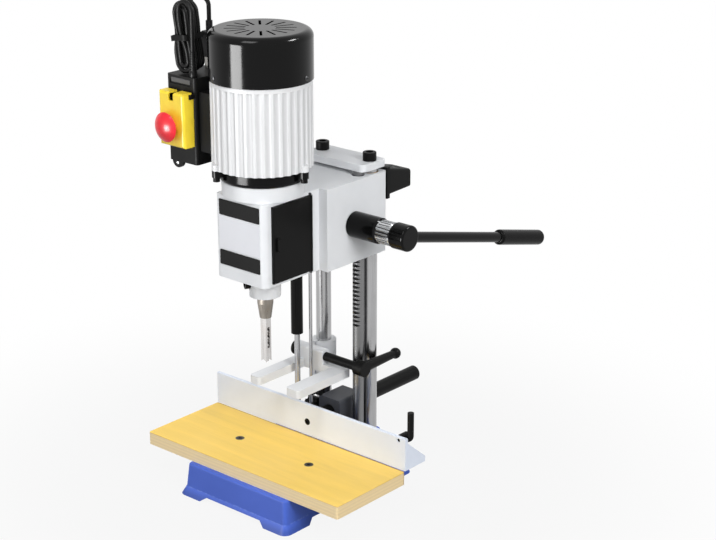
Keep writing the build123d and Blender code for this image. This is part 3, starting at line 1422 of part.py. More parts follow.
pieces = {
    "base_casting": base_casting, "table_board": table_board, "table_screws": table_screws,
    "left_column": left_column, "right_column": right_column, "top_plate": top_plate,
    "top_plate_bolts": top_plate_bolts, "rack_bar": rack_bar, "depth_rod": depth_rod,
    "depth_collar": depth_collar, "depth_thumb_screw": depth_thumb_screw,
    "gas_strut_rod": gas_strut_rod, "gas_strut_cylinder": gas_strut_cylinder,
    "head_casting": head_casting, "bronze_bushes": bronze_bushes,
    "chuck_cover": chuck_cover, "chuck_cover_pin": chuck_cover_pin,
    "black_plates": black_plates, "silver_plate": silver_plate,
    "chisel_bushing": chisel_bushing, "hollow_chisel": hollow_chisel, "chisel_lock_screw": chisel_lock_screw,
    "motor_flange": motor_flange, "motor_bolts": motor_bolts, "motor_housing": motor_housing,
    "motor_stator": motor_stator, "motor_bearings": motor_bearings, "fan_cover": fan_cover,
    "motor_shaft": motor_shaft, "cooling_fan": cooling_fan, "drill_chuck": drill_chuck,
    "auger_bit": auger_bit,
    "pinion_shaft": pinion_shaft, "lever_hub": lever_hub, "hub_ring": hub_ring, "lever_boss": lever_boss,
    "lever_rod": lever_rod, "lever_grip": lever_grip,
    "hold_down_fork": hold_down_fork, "clamp_lever": clamp_lever,
    "fence_plate": fence_plate, "fence_bar": fence_bar, "fence_screw": fence_screw,
    "bar_guide": bar_guide, "bar_lock_knob": bar_lock_knob, "fence_lever": fence_lever,
    "switch_bracket": switch_bracket, "switch_box": switch_box,
    "start_button": start_button, "stop_button": stop_button, "switch_flap": switch_flap,
    "flap_pin": flap_pin, "mushroom_stop": mushroom_stop,
    "cord_gland": cord_gland, "cord_lead": cord_lead, "cord_hank": cord_hank, "plug_lead": plug_lead,
    "mains_plug": mains_plug, "cord_tie": cord_tie, "tool_holder": tool_holder,
}
for name, piece in pieces.items():
    piece.part.label = name
    export_step(piece.part, f"parts/{name}.step")
print(len(pieces), "pieces")
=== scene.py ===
"""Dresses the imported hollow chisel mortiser: finishes for the CAD pieces, cord, screws and small trim."""
import bmesh
import bpy
import math
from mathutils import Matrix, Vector


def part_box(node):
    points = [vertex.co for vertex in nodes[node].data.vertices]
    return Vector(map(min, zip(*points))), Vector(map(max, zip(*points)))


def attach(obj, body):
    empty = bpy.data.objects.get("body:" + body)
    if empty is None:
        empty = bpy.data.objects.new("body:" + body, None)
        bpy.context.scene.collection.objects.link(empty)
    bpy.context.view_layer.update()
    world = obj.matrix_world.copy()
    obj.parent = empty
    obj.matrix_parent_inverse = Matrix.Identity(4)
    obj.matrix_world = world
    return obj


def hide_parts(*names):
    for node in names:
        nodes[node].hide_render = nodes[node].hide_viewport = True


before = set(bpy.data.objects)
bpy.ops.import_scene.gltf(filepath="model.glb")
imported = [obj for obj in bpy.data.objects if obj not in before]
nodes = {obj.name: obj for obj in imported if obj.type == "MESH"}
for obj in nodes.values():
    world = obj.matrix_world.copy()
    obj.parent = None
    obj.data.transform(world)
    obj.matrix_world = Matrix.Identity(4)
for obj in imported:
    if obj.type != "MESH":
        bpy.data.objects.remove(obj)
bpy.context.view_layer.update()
scene = bpy.context.scene
MM = 0.001


def centre_of(node):
    """Middle of a CAD node's box at rest, in metres."""
    low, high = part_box(node)
    return (low + high) / 2


def add_object(name, data):
    """Links a new object at the origin for a mesh, a curve, a lamp or the camera."""
    made = bpy.data.objects.new(name, data)
    scene.collection.objects.link(made)
    return made


# Node sockets as Python values
class Value:
    """A socket that takes part in arithmetic.

    Numbers go through Math nodes, colours through Mix and vectors through Vector Math.
    """

    def __init__(self, owner, socket):
        self.owner = owner
        self.socket = socket

    def _join(self, operation, first, second):
        kinds = {v.socket.type for v in (first, second) if isinstance(v, Value)}
        if "RGBA" in kinds:
            settings = {"data_type": "RGBA", "blend_type": operation}
            return self.owner.node("ShaderNodeMix", settings, {0: 1.0, 6: first, 7: second}, 2)
        kind = "ShaderNodeVectorMath" if "VECTOR" in kinds else "ShaderNodeMath"
        return self.owner.node(kind, {"operation": operation}, {0: first, 1: second})

    def __add__(self, other):
        return self._join("ADD", self, other)

    def __radd__(self, other):
        return self._join("ADD", other, self)

    def __sub__(self, other):
        return self._join("SUBTRACT", self, other)

    def __rsub__(self, other):
        return self._join("SUBTRACT", other, self)

    def __mul__(self, other):
        return self._join("MULTIPLY", self, other)

    def __rmul__(self, other):
        return self._join("MULTIPLY", other, self)

    def __truediv__(self, other):
        return self._join("DIVIDE", self, other)

    def __rtruediv__(self, other):
        return self._join("DIVIDE", other, self)

    def __abs__(self):
        return self.owner.node("ShaderNodeMath", {"operation": "ABSOLUTE"}, {0: self})

    def clamped(self, low, high):
        """The value held between two limits."""
        return self.owner.node("ShaderNodeClamp", {}, {"Value": self, "Min": low, "Max": high})

    def ramp(self, low, high):
        """0 below low, 1 above high and a smooth step between."""
        settings = {"interpolation_type": "SMOOTHSTEP"}
        sockets = {"Value": self, "From Min": low, "From Max": high}
        return self.owner.node("ShaderNodeMapRange", settings, sockets)


class Nodes:
    """A node tree that is filled through one method."""

    def __init__(self, tree):
        self.tree = tree
        tree.nodes.clear()

    def fill(self, socket, value):
        """Links a Value to a socket, or several to one that takes several, or sets a constant on it."""
        if isinstance(value, list):
            for one in value:
                self.tree.links.new(one.socket, socket)
        elif isinstance(value, Value):
            self.tree.links.new(value.socket, socket)
        elif socket.type in ("RGBA", "VECTOR"):
            parts = (value,) * 3 if isinstance(value, (int, float)) else tuple(value)[:3]
            socket.default_value = (*parts, 1.0) if socket.type == "RGBA" else parts
        else:
            socket.default_value = value

    def node(self, kind, settings, sockets, output=0):
        """Adds a node: first its settings, then its sockets, each a constant or a Value."""
        made = self.tree.nodes.new(kind)
        for key, value in settings.items():
            setattr(made, key, value)
        for key, value in sockets.items():
            self.fill(made.inputs[key], value)
        return Value(self, made.outputs[output]) if made.outputs else None

    def outputs(self, kind, settings, sockets, names):
        """Adds a node and gives several of its outputs."""
        first = self.node(kind, settings, sockets)
        return [Value(self, first.socket.node.outputs[name]) for name in names]

    def place(self):
        """Object coordinates, in metres."""
        return self.node("ShaderNodeTexCoord", {}, {}, "Object")

    def axes(self):
        """X, Y and Z of the object coordinates."""
        return self.outputs("ShaderNodeSeparateXYZ", {}, {0: self.place()}, "XYZ")


class Finish(Nodes):
    """One procedural material: a Principled shader and the nodes that vary it."""

    def __init__(self, name, color, roughness, metallic=0.0, coat=0.0, specular=0.5, coat_roughness=0.15):
        self.material = bpy.data.materials.new(name)
        self.material.use_nodes = True
        super().__init__(self.material.node_tree)
        self.shader = self.tree.nodes.new("ShaderNodeBsdfPrincipled")
        self.node("ShaderNodeOutputMaterial", {}, {"Surface": Value(self, self.shader.outputs[0])})
        self.put("Base Color", color)
        self.put("Roughness", roughness)
        self.put("Metallic", metallic)
        self.put("Specular IOR Level", specular)
        self.put("Coat Weight", coat)
        self.put("Coat Roughness", coat_roughness)
        self.material.diffuse_color = (*color, 1.0)

    def put(self, name, value):
        """Sets or links one socket of the Principled shader."""
        self.fill(self.shader.inputs[name], value)

    def stretched(self, scale):
        """Object coordinates scaled along each axis."""
        return self.place() * scale

    def noise(self, scale, detail, rough, vector=None, distortion=0.0):
        """Noise over the object coordinates, or over other ones."""
        sockets = {"Vector": vector or self.place(), "Scale": scale, "Detail": detail, "Roughness": rough,
                   "Distortion": distortion}
        return self.node("ShaderNodeTexNoise", {"noise_dimensions": "3D"}, sockets)

    def mix(self, factor, first, second):
        """Blends two colours."""
        return self.node("ShaderNodeMix", {"data_type": "RGBA"}, {0: factor, 6: first, 7: second}, 2)

    def bump(self, height, strength, distance):
        """Relief from a height, on the shader's normal."""
        sockets = {"Strength": strength, "Distance": distance, "Height": height}
        self.put("Normal", self.node("ShaderNodeBump", {}, sockets))


# Finishes
def shade(color, factor):
    """A colour made darker or lighter."""
    return tuple(min(1.0, c * factor) for c in color)


def cast_skin(f, roughness, grain, depth):
    """Skin of sprayed paint over a casting; gives its clouding and rub marks for the colour."""
    cloud = f.noise(scale=9.0, detail=4.0, rough=0.55)
    skin = f.noise(scale=grain, detail=3.0, rough=0.6)
    rubs = f.noise(scale=38.0, detail=5.0, rough=0.65).ramp(0.56, 0.74)
    uneven = roughness + (cloud - 0.5) * 0.16 + (skin - 0.5) * 0.10 - rubs * 0.06
    f.put("Roughness", uneven.clamped(0.05, 0.95))
    f.bump(skin * 0.7 + cloud * 0.3, strength=0.35, distance=depth)
    return cloud, rubs


def cast_paint(name, color, roughness, grain, depth, specular):
    """Sprayed paint over a casting: a fine skin, faint clouding, pin-point grit and rub marks."""
    f = Finish(name, color, roughness, specular=specular)
    cloud, rubs = cast_skin(f, roughness, grain, depth)
    specks = f.noise(scale=1500.0, detail=1.0, rough=0.5).ramp(0.70, 0.78)
    painted = f.mix(cloud.ramp(0.32, 0.72), shade(color, 0.95), shade(color, 1.02))
    painted = f.mix(rubs * 0.30, painted, shade(color, 0.90))
    f.put("Base Color", f.mix(specks * 0.22, painted, shade(color, 0.70)))
    return f.material


def moulded(name, color, roughness, specular, coat=0.0, grain=900.0, depth=0.06 * MM):
    """Moulded plastic with a fine spark texture and handling marks."""
    f = Finish(name, color, roughness, coat=coat, specular=specular)
    grit = f.noise(scale=grain, detail=2.0, rough=0.6)
    wear = f.noise(scale=28.0, detail=4.0, rough=0.6)
    f.put("Base Color", f.mix(wear.ramp(0.3, 0.8), shade(color, 0.93), shade(color, 1.05)))
    f.put("Roughness", (roughness + (wear - 0.5) * 0.16 + (grit - 0.5) * 0.08).clamped(0.04, 0.95))
    f.bump(grit, strength=0.25, distance=depth)
    return f.material


def steel(name, color, roughness, stretch, depth=0.02 * MM, tint=None):
    """Ground or drawn metal: fine lines along one axis, with faint staining."""
    f = Finish(name, color, roughness, metallic=1.0)
    lines = f.noise(scale=1.0, detail=3.0, rough=0.65, vector=f.stretched(stretch))
    stain = f.noise(scale=30.0, detail=4.0, rough=0.6)
    drawn = f.mix(lines.ramp(0.35, 0.70), shade(color, 0.90), shade(color, 1.06))
    f.put("Base Color", f.mix(stain.ramp(0.45, 0.80) * 0.8, drawn, tint or shade(color, 0.86)))
    f.put("Roughness", (roughness + (lines - 0.5) * 0.16 + (stain - 0.5) * 0.10).clamped(0.03, 0.9))
    f.bump(lines, strength=0.2, distance=depth)
    return f.material


def base_blue():
    """Blue paint on the base: darker towards the bottom of the foot as painted shade, and scuffed at the
    toes' top edge.
    """
    color, scuffed = (0.070, 0.135, 0.560), (0.20, 0.30, 0.66)
    roughness = 0.42
    foot_low, foot_high = 2.0 * MM, 11.0 * MM
    toe_edge, edge_reach = 11.8 * MM, 1.6 * MM
    f = Finish("base_blue", color, roughness, specular=0.15)
    cloud = cast_skin(f, roughness, grain=300.0, depth=0.12 * MM)[0]
    scuff = f.noise(scale=160.0, detail=4.0, rough=0.6)
    z = f.axes()[2]
    # Painted shade: the blue darkens towards the bottom of the foot.
    foot = 1 - z.ramp(foot_low, foot_high)
    edge = (1 - abs(z - toe_edge) / edge_reach).clamped(0.0, 1.0) * scuff.ramp(0.42, 0.62)
    painted = f.mix(cloud.ramp(0.32, 0.72), shade(color, 0.93), shade(color, 1.04))
    painted = f.mix(foot * 0.55, painted, shade(color, 0.42))
    f.put("Base Color", f.mix(edge * 0.35, painted, scuffed))
    return f.material


def table_wood():
    """Clear-coated board: long faint grain on top, pale layers at the edges, darker at the arris, and a
    painted shadow along the rear edge by the fence.
    """
    top, pale = (0.850, 0.575, 0.110), (0.86, 0.60, 0.16)
    edge = (0.850, 0.665, 0.380)
    # The second brown is the colour of a painted shadow along the rear edge by the fence.
    arris_brown, fence_shadow_brown = (0.40, 0.22, 0.06), (0.30, 0.15, 0.04)
    roughness, coat = 0.64, 0.12
    layer, layer_wave = 2.4 * MM, 1.2 * MM
    veneer_low, veneer_high = 63.4 * MM, 64.5 * MM
    arris_z, arris_reach = 64.1 * MM, 0.9 * MM
    rear_from, rear_full = 3.0 * MM, 5.2 * MM
    f = Finish("table_board_veneer", top, roughness, coat=coat, specular=0.30, coat_roughness=0.2)
    y, z = f.axes()[1:]
    figure = f.noise(scale=1.0, detail=5.0, rough=0.6, vector=f.stretched((4.0, 60.0, 60.0)), distortion=0.6)
    pores = f.noise(scale=1.0, detail=2.0, rough=0.7, vector=f.stretched((45.0, 900.0, 900.0)))
    cloud = f.noise(scale=7.0, detail=3.0, rough=0.5)
    grain = figure.ramp(0.30, 0.72)
    veneer = f.mix(grain, shade(top, 0.93), shade(top, 1.05))
    veneer = f.mix(pores.ramp(0.55, 0.78) * 0.22, veneer, shade(top, 0.66))
    veneer = f.mix(cloud.ramp(0.35, 0.75) * 0.40, veneer, pale)
    wavy = z + (figure - 0.5) * layer_wave
    layers = f.node("ShaderNodeMath", {"operation": "PINGPONG"}, {0: wavy, 1: layer})
    ply = f.mix((layers / layer).ramp(0.25, 0.75), shade(edge, 0.96), shade(edge, 1.03))
    ply = f.mix(pores.ramp(0.5, 0.8) * 0.25, ply, shade(edge, 0.66))
    on_top = z.ramp(veneer_low, veneer_high)
    arris = (1 - abs(z - arris_z) / arris_reach).clamped(0.0, 1.0)
    # Painted shadow: a brown band along the rear edge, where the fence shades the board.
    fence_shadow = y.ramp(rear_from, rear_full)
    board = f.mix(on_top, ply, veneer)
    board = f.mix(arris * 0.45, board, arris_brown)
    f.put("Base Color", f.mix(fence_shadow * 0.75, board, fence_shadow_brown))
    f.put("Roughness", (roughness - on_top * 0.22 + (pores - 0.5) * 0.12).clamped(0.1, 0.9))
    f.put("Coat Weight", on_top * coat)
    f.bump(pores * 0.6 + grain * 0.4, strength=0.22, distance=0.12 * MM)
    return f.material


def fluted_motor():
    """Silver-painted extrusion: a soft sheen, drawn lines up the flutes and painted shade in their valleys.
    """
    color = (0.700, 0.705, 0.715)
    roughness = 0.52
    valley_radius, crest_radius = 65.2 * MM, 66.9 * MM
    axis = centre_of("fan_cover")
    f = Finish("motor_silver", color, roughness, metallic=0.04, specular=0.15)
    off_axis = (f.place() - (axis.x, axis.y, 0.0)) * (1.0, 1.0, 0.0)
    radius = f.node("ShaderNodeVectorMath", {"operation": "LENGTH"}, {0: off_axis}, "Value")
    drawn = f.noise(scale=1.0, detail=3.0, rough=0.6, vector=f.stretched((420.0, 420.0, 6.0)))
    cloud = f.noise(scale=11.0, detail=3.0, rough=0.5)
    silvered = f.mix(cloud.ramp(0.3, 0.75), shade(color, 0.96), shade(color, 1.02))
    silvered = f.mix(drawn.ramp(0.45, 0.75) * 0.35, silvered, shade(color, 0.86))
    # Painted shade: the flute valleys are darker than the crests.
    f.put("Base Color", f.mix(radius.ramp(valley_radius, crest_radius), shade(color, 0.80), silvered))
    f.put("Roughness", (roughness + (drawn - 0.5) * 0.14 + (cloud - 0.5) * 0.08).clamped(0.1, 0.8))
    f.bump(drawn, strength=0.2, distance=0.04 * MM)
    return f.material


def plug_moulding():
    """Black plug body; the contact blades below it are bare metal."""
    body, bare = (0.010, 0.010, 0.011), (0.32, 0.31, 0.29)
    roughness = 0.44
    blade_length, blade_fade = 17.0 * MM, 0.2 * MM
    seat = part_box("mains_plug")[0].z + blade_length
    f = Finish("plug_moulding", body, roughness, specular=0.2)
    z = f.axes()[2]
    blade = (seat - z).ramp(0.0, blade_fade)
    grit = f.noise(scale=850.0, detail=2.0, rough=0.6)
    f.put("Base Color", f.mix(blade, body, bare))
    f.put("Metallic", blade)
    f.put("Roughness", (roughness - blade * 0.2 + (grit - 0.5) * 0.1).clamped(0.1, 0.9))
    f.bump(grit, strength=0.2, distance=0.05 * MM)
    return f.material


grey_paint = cast_paint("casting_light_grey", (0.735, 0.750, 0.770), roughness=0.46, grain=420.0,
                        depth=0.08 * MM, specular=0.25)
fence_paint = cast_paint("fence_light_grey", (0.745, 0.800, 0.905), roughness=0.46, grain=700.0,
                         depth=0.05 * MM, specular=0.30)
black_paint = cast_paint("lever_gloss_black", (0.002, 0.002, 0.002), roughness=0.16, grain=500.0,
                         depth=0.04 * MM, specular=0.12)
black_steel = cast_paint("blackened_steel", (0.005, 0.005, 0.005), roughness=0.40, grain=650.0,
                         depth=0.05 * MM, specular=0.08)
guide_paint = cast_paint("guide_dark_grey", (0.060, 0.063, 0.072), roughness=0.46, grain=380.0,
                         depth=0.10 * MM, specular=0.20)
silver_bare = cast_paint("front_plate_silver", (0.735, 0.745, 0.785), roughness=0.40, grain=900.0,
                         depth=0.03 * MM, specular=0.35)

black_plastic = moulded("satin_black_plastic", (0.005, 0.005, 0.005), roughness=0.46, specular=0.08)
switch_plastic = moulded("switch_black_plastic", (0.006, 0.006, 0.006), roughness=0.46, specular=0.10)
cover_plastic = moulded("chuck_cover_black", (0.004, 0.004, 0.004), roughness=0.34, specular=0.08,
                        grain=700.0)
gloss_black = moulded("fan_cover_gloss_black", (0.002, 0.002, 0.002), roughness=0.12, specular=0.15,
                      grain=260.0, depth=0.01 * MM)
yellow_plastic = moulded("flap_yellow", (0.925, 0.690, 0.045), roughness=0.36, specular=0.35)
red_plastic = moulded("stop_red", (0.780, 0.020, 0.034), roughness=0.30, specular=0.28, coat=0.06)
green_plastic = moulded("start_green", (0.02, 0.30, 0.05), roughness=0.32, specular=0.40)
grip_plastic = moulded("grip_black", (0.003, 0.003, 0.003), roughness=0.30, specular=0.08,
                       grain=600.0, depth=0.08 * MM)
cord_rubber = moulded("cord_black_rubber", (0.006, 0.006, 0.006), roughness=0.40, specular=0.12,
                      grain=500.0, depth=0.05 * MM)
strip_grey = moulded("bare_strip_grey", (0.080, 0.080, 0.083), roughness=0.40, specular=0.30)

chrome = steel("ground_column_steel", (0.420, 0.421, 0.426), roughness=0.20, stretch=(700.0, 700.0, 10.0),
               depth=0.012 * MM)
rack_steel = steel("rack_steel", (0.210, 0.211, 0.214), roughness=0.28, stretch=(500.0, 500.0, 14.0))
rod_steel = steel("bright_rod_steel", (0.46, 0.46, 0.47), roughness=0.18, stretch=(700.0, 700.0, 10.0),
                  depth=0.012 * MM)
ring_chrome = steel("ring_chrome", (0.66, 0.67, 0.68), roughness=0.10, stretch=(20.0, 700.0, 700.0),
                    depth=0.008 * MM)
bright_steel = steel("ground_tool_steel", (0.60, 0.585, 0.575), roughness=0.26, stretch=(500.0, 500.0, 18.0),
                     tint=(0.50, 0.45, 0.42))
bush_steel = steel("bushing_brown_steel", (0.27, 0.245, 0.215), roughness=0.30, stretch=(500.0, 500.0, 40.0),
                   tint=(0.20, 0.165, 0.13))
dark_steel = steel("dark_oxide_steel", (0.075, 0.075, 0.078), roughness=0.36, stretch=(400.0, 400.0, 30.0))
bronze = steel("bronze_bush", (0.52, 0.34, 0.15), roughness=0.34, stretch=(300.0, 300.0, 300.0))

finishes = {
    "base_casting": base_blue(), "table_board": table_wood(), "table_screws": dark_steel,
    "left_column": chrome, "right_column": chrome, "top_plate": grey_paint, "top_plate_bolts": black_steel,
    "rack_bar": rack_steel, "depth_rod": rod_steel, "depth_collar": black_steel,
    "depth_thumb_screw": black_steel, "gas_strut_rod": rod_steel, "gas_strut_cylinder": black_paint,
    "head_casting": grey_paint, "bronze_bushes": bronze, "chuck_cover": cover_plastic,
    "chuck_cover_pin": dark_steel, "black_plates": black_plastic, "silver_plate": silver_bare,
    "chisel_bushing": bush_steel, "hollow_chisel": bright_steel, "chisel_lock_screw": black_steel,
    "motor_flange": black_paint, "motor_bolts": black_steel, "motor_housing": fluted_motor(),
    "motor_stator": dark_steel, "motor_bearings": bright_steel, "fan_cover": gloss_black,
    "motor_shaft": bright_steel, "cooling_fan": black_plastic, "drill_chuck": dark_steel,
    "auger_bit": bright_steel, "pinion_shaft": bright_steel, "lever_hub": black_paint,
    "hub_ring": ring_chrome, "lever_boss": black_paint, "lever_rod": black_paint, "lever_grip": grip_plastic,
    "hold_down_fork": grey_paint, "clamp_lever": black_steel, "fence_plate": fence_paint,
    "fence_bar": black_steel, "fence_screw": black_steel, "bar_guide": guide_paint,
    "bar_lock_knob": black_plastic, "fence_lever": black_plastic, "switch_bracket": black_plastic,
    "switch_box": switch_plastic, "start_button": green_plastic, "stop_button": red_plastic,
    "switch_flap": yellow_plastic, "flap_pin": switch_plastic, "mushroom_stop": red_plastic,
    "cord_gland": cord_rubber, "mains_plug": plug_moulding(), "cord_tie": black_plastic,
    "tool_holder": black_plastic,
}
for name, material in finishes.items():
    mesh = nodes[name].data
    mesh.materials.clear()
    mesh.materials.append(material)

# Mains cord: one smooth line from the gland, over into the hank, round its loops, and to the plug.
# Its places and sizes are in millimetres.
cord_d = 6.0
cord_sunk = 1.0
straight_out = 20.0
# The hank's place on the switch, and how far it leans
hank_from_left, hank_from_front, hank_clearance = 21.0, 7.0, 0.3
hank_tilt = math.radians(8.7)
# From strand to strand, half the width of an inner loop, and the length of a run
hank_step, hank_inner, hank_run = 6.6, 6.8, 62.0
# How far the tie draws a run in, how far from the tie that starts, and how far from a fold a run is straight
hank_waist, waist_reach, fold_step = 1.8, 16.0, 3.0
# The lead's arch over the hank's folds, and the places of the gland and the plug
lead_rise = 32.0
gland_from_right = 9.5
plug_aside, plug_behind = 12.0, 15.0
switch_low, switch_high = (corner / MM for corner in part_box("switch_box"))
gland_low, gland_top = (corner.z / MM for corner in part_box("cord_gland"))
plug_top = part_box("mains_plug")[1].z / MM

# Each run of the hank: its side, its ring (0 inner, 1 outer), and the layers in which it starts and ends
hank_runs = [
    (1, 0, 0, 1), (-1, 0, 1, 1), (1, 1, 1, 1), (-1, 1, 1, 2), (1, 1, 2, 2), (-1, 0, 2, 2),
    (1, 0, 2, 3), (-1, 0, 3, 3), (1, 1, 3, 3), (-1, 1, 3, 4), (1, 1, 4, 4), (-1, 0, 4, 5),
]
hank_x = switch_low.x + hank_from_left
hank_y = switch_low.y + hank_from_front
hank_back = hank_y + hank_runs[-1][-1] * hank_step
hank_outer = hank_inner + hank_step
hank_low = switch_high.z + hank_clearance + cord_d / 2 + hank_outer
hank_high = hank_low + hank_run
lead_top = hank_high + lead_rise - hank_outer
gland_x = switch_high.x - gland_from_right
plug_x = hank_x - hank_inner + plug_aside
plug_y = hank_back + plug_behind


def leaning(x, y, z):
    """A point of the hank, turned about the hank's foot so that the hank leans over to the left."""
    across, up = x - hank_x, z - hank_low
    cosine, sine = math.cos(hank_tilt), math.sin(hank_tilt)
    return hank_x + across * cosine - up * sine, y, hank_low + across * sine + up * cosine


def cord_points():
    """Control points of the whole cord, in metres; the lead's and the plug end's are listed one by one."""
    points = [(gland_x, hank_y, gland_top - cord_sunk), (gland_x, hank_y, gland_top + straight_out),
              (gland_x, hank_y, lead_top - 18.5), (gland_x, hank_y, lead_top - 7.5),
              (gland_x - 7.5, hank_y, lead_top), (gland_x - 18.0, hank_y, lead_top),
              (gland_x - 25.0, hank_y, lead_top - 7.5)]
    waist = (hank_low + hank_high) / 2
    eighth = math.pi / 8
    last_x = None
    for index, (side, ring, first, last) in enumerate(hank_runs):
        way = -1 if index % 2 == 0 else 1
        begin, end = (hank_high, hank_low) if way < 0 else (hank_low, hank_high)
        x = hank_x + side * (hank_inner + ring * hank_step)
        y_in, y_out = hank_y + first * hank_step, hank_y + last * hank_step
        if last_x is not None:
            centre, reach = (x + last_x) / 2, abs(x - last_x) / 2 / math.cos(eighth)
            for angle in (eighth, 3 * eighth, 5 * eighth, 7 * eighth):
                points.append(leaning(centre - side * reach * math.cos(angle), y_in,
                                      begin - way * reach * math.sin(angle)))
        points.append(leaning(x, y_in, begin + way * fold_step))
        points.append(leaning(x, y_in, waist - way * waist_reach))
        points.append(leaning(x - side * hank_waist, (y_in + y_out) / 2, waist))
        points.append(leaning(x, y_out, waist + way * waist_reach))
        if index < len(hank_runs) - 1:
            points.append(leaning(x, y_out, end - way * fold_step))
        last_x = x
    points += [leaning(hank_x - hank_inner, hank_back, hank_high),
               (plug_x - 21.5, plug_y - 15.0, lead_top - 7.5), (plug_x - 15.0, plug_y - 10.5, lead_top),
               (plug_x - 6.0, plug_y - 4.5, lead_top), (plug_x, plug_y, lead_top - 7.5),
               (plug_x, plug_y, lead_top - 18.5), (plug_x, plug_y, plug_top - cord_sunk)]
    return [Vector(p) * MM for p in points]


route = cord_points()
line = bpy.data.curves.new("mains_cord", "CURVE")
line.dimensions = "3D"
spline = line.splines.new("NURBS")
spline.points.add(len(route) - 1)
for spot, place in zip(spline.points, route):
    spot.co = (*place, 1.0)
spline.order_u = 3
spline.use_endpoint_u = True
spline.resolution_u = 6
line.bevel_depth = cord_d / 2 * MM
line.bevel_resolution = 4
line.use_fill_caps = True
line.materials.append(cord_rubber)
mains_cord = add_object("mains_cord", line)


def curve_length(curve_object):
    """Length of a curve's own line, in metres."""
    depth = curve_object.data.bevel_depth
    curve_object.data.bevel_depth = 0.0
    graph = bpy.context.evaluated_depsgraph_get()
    plain = bpy.data.meshes.new_from_object(curve_object.evaluated_get(graph))
    curve_object.data.bevel_depth = depth
    ends = [[plain.vertices[i].co for i in edge.vertices] for edge in plain.edges]
    total = sum((first - second).length for first, second in ends)
    bpy.data.meshes.remove(plain)
    return total


cord_length = curve_length(mains_cord)
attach(mains_cord, "head")
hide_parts("cord_lead", "cord_hank", "plug_lead")


# Plain meshes made in code
def smooth(mesh, sharp):
    """Smooth faces, with the edges kept sharp that turn by more than an angle in degrees."""
    for face in mesh.polygons:
        face.use_smooth = True
    mesh.set_sharp_from_angle(angle=math.radians(sharp))
    return mesh


def wall(bm, rings):
    """Faces that join each ring of points to the next; a ring of one point is a pole."""
    for low, high in zip(rings, rings[1:]):
        count = max(len(low), len(high))
        for i in range(count):
            j = (i + 1) % count
            if len(low) == 1:
                bm.faces.new((low[0], high[j], high[i]))
            elif len(high) == 1:
                bm.faces.new((low[i], low[j], high[0]))
            else:
                bm.faces.new((low[i], low[j], high[j], high[i]))


def closed(bm, name, material, sharp):
    """The finished mesh of a closed shape, with its faces pointing outwards."""
    bmesh.ops.recalc_face_normals(bm, faces=bm.faces)
    mesh = bpy.data.meshes.new(name)
    bm.to_mesh(mesh)
    bm.free()
    mesh.materials.append(material)
    return smooth(mesh, sharp)


def new_piece(mesh, body, slot, *replaced):
    """Links a finished mesh as a piece of the same name on a body."""
    made = add_object(mesh.name, mesh)
    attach(made, body)
    if replaced:
        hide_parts(*replaced)
    return made


def lathe(name, material, profile, x, y):
    """A closed shape turned about Z from (radius, height) pairs in millimetres, both ends on the axis."""
    segments = 48
    bm = bmesh.new()
    rings = []
    for radius, height in profile:
        ring = []
        for i in range(segments if radius else 1):
            a = 2 * math.pi * i / segments
            spot = (x + radius * math.cos(a), y + radius * math.sin(a), height)
            ring.append(bm.verts.new([c * MM for c in spot]))
        rings.append(ring)
    wall(bm, rings)
    return closed(bm, name, material, sharp=35)


# Strain relief: a tapered boot with ribs
def boot_profile():
    """(radius, height) pairs of the boot, in millimetres: a collar, ribs that grow smaller, and a lip."""
    foot_radius, collar_radius, neck_radius = 5.4, 5.5, 4.9
    collar_low, collar_high = gland_low + 0.6, gland_low + 7.6
    ribs_low, ribs_high = gland_low + 8.5, gland_top - 1.5
    rib_count, rib_radius, rib_taper = 7, 4.75, 0.75
    rib_bevel, groove_depth = 0.2, 0.75
    rib_end, groove_start, groove_end = 0.55, 0.62, 0.98
    lip_low, lip_radius, lip_bevel = gland_top - 1.2, 3.8, 0.3
    pitch = (ribs_high - ribs_low) / rib_count
    profile = [(0, gland_low), (foot_radius, gland_low), (collar_radius, collar_low),
               (collar_radius, collar_high), (neck_radius, ribs_low)]
    for i in range(rib_count):
        z = ribs_low + pitch * i
        r = rib_radius - rib_taper * i / rib_count
        groove = r - groove_depth
        profile += [(r, z + rib_bevel), (r, z + pitch * rib_end),
                    (groove, z + pitch * groove_start), (groove, z + pitch * groove_end)]
    return profile + [(lip_radius, lip_low), (lip_radius - lip_bevel, gland_top), (0, gland_top)]


new_piece(lathe("strain_relief", cord_rubber, boot_profile(), gland_x, hank_y),
          "head", "cord_rubber", "cord_gland")


# Hank tie: a flat band that hugs the bundle's waist
def hank_band(name, material):
    """The tie: a flat strip round the bundle, slightly drawn in between the strands."""
    steps = 96
    squareness = 0.42
    dips, dip_depth = 8, 0.012
    waves, wave_height = 3, 0.10
    edge, inside = 0.82, 0.93
    low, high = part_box("cord_tie")
    centre, half = (low + high) / 2, (high - low) / 2
    bm = bmesh.new()
    rings = []
    for scale, level in ((1.0, -edge), (1.0, edge), (inside, edge), (inside, -edge)):
        ring = []
        for i in range(steps):
            a = 2 * math.pi * i / steps
            c, s = math.cos(a), math.sin(a)
            reach = scale * (1.0 - dip_depth * (1 + math.cos(dips * a)) / 2)
            x = math.copysign(abs(c) ** squareness, c) * half.x * reach
            y = math.copysign(abs(s) ** squareness, s) * half.y * reach
            z = (level + wave_height * math.sin(waves * a)) * half.z
            spot = centre + Vector((x, y, z))
            ring.append(bm.verts.new(Vector(leaning(*(spot / MM))) * MM))
        rings.append(ring)
    wall(bm, rings + rings[:1])
    return closed(bm, name, material, sharp=40)


hank_tie = new_piece(hank_band("hank_tie", black_plastic), "head", "black_plastic", "cord_tie")


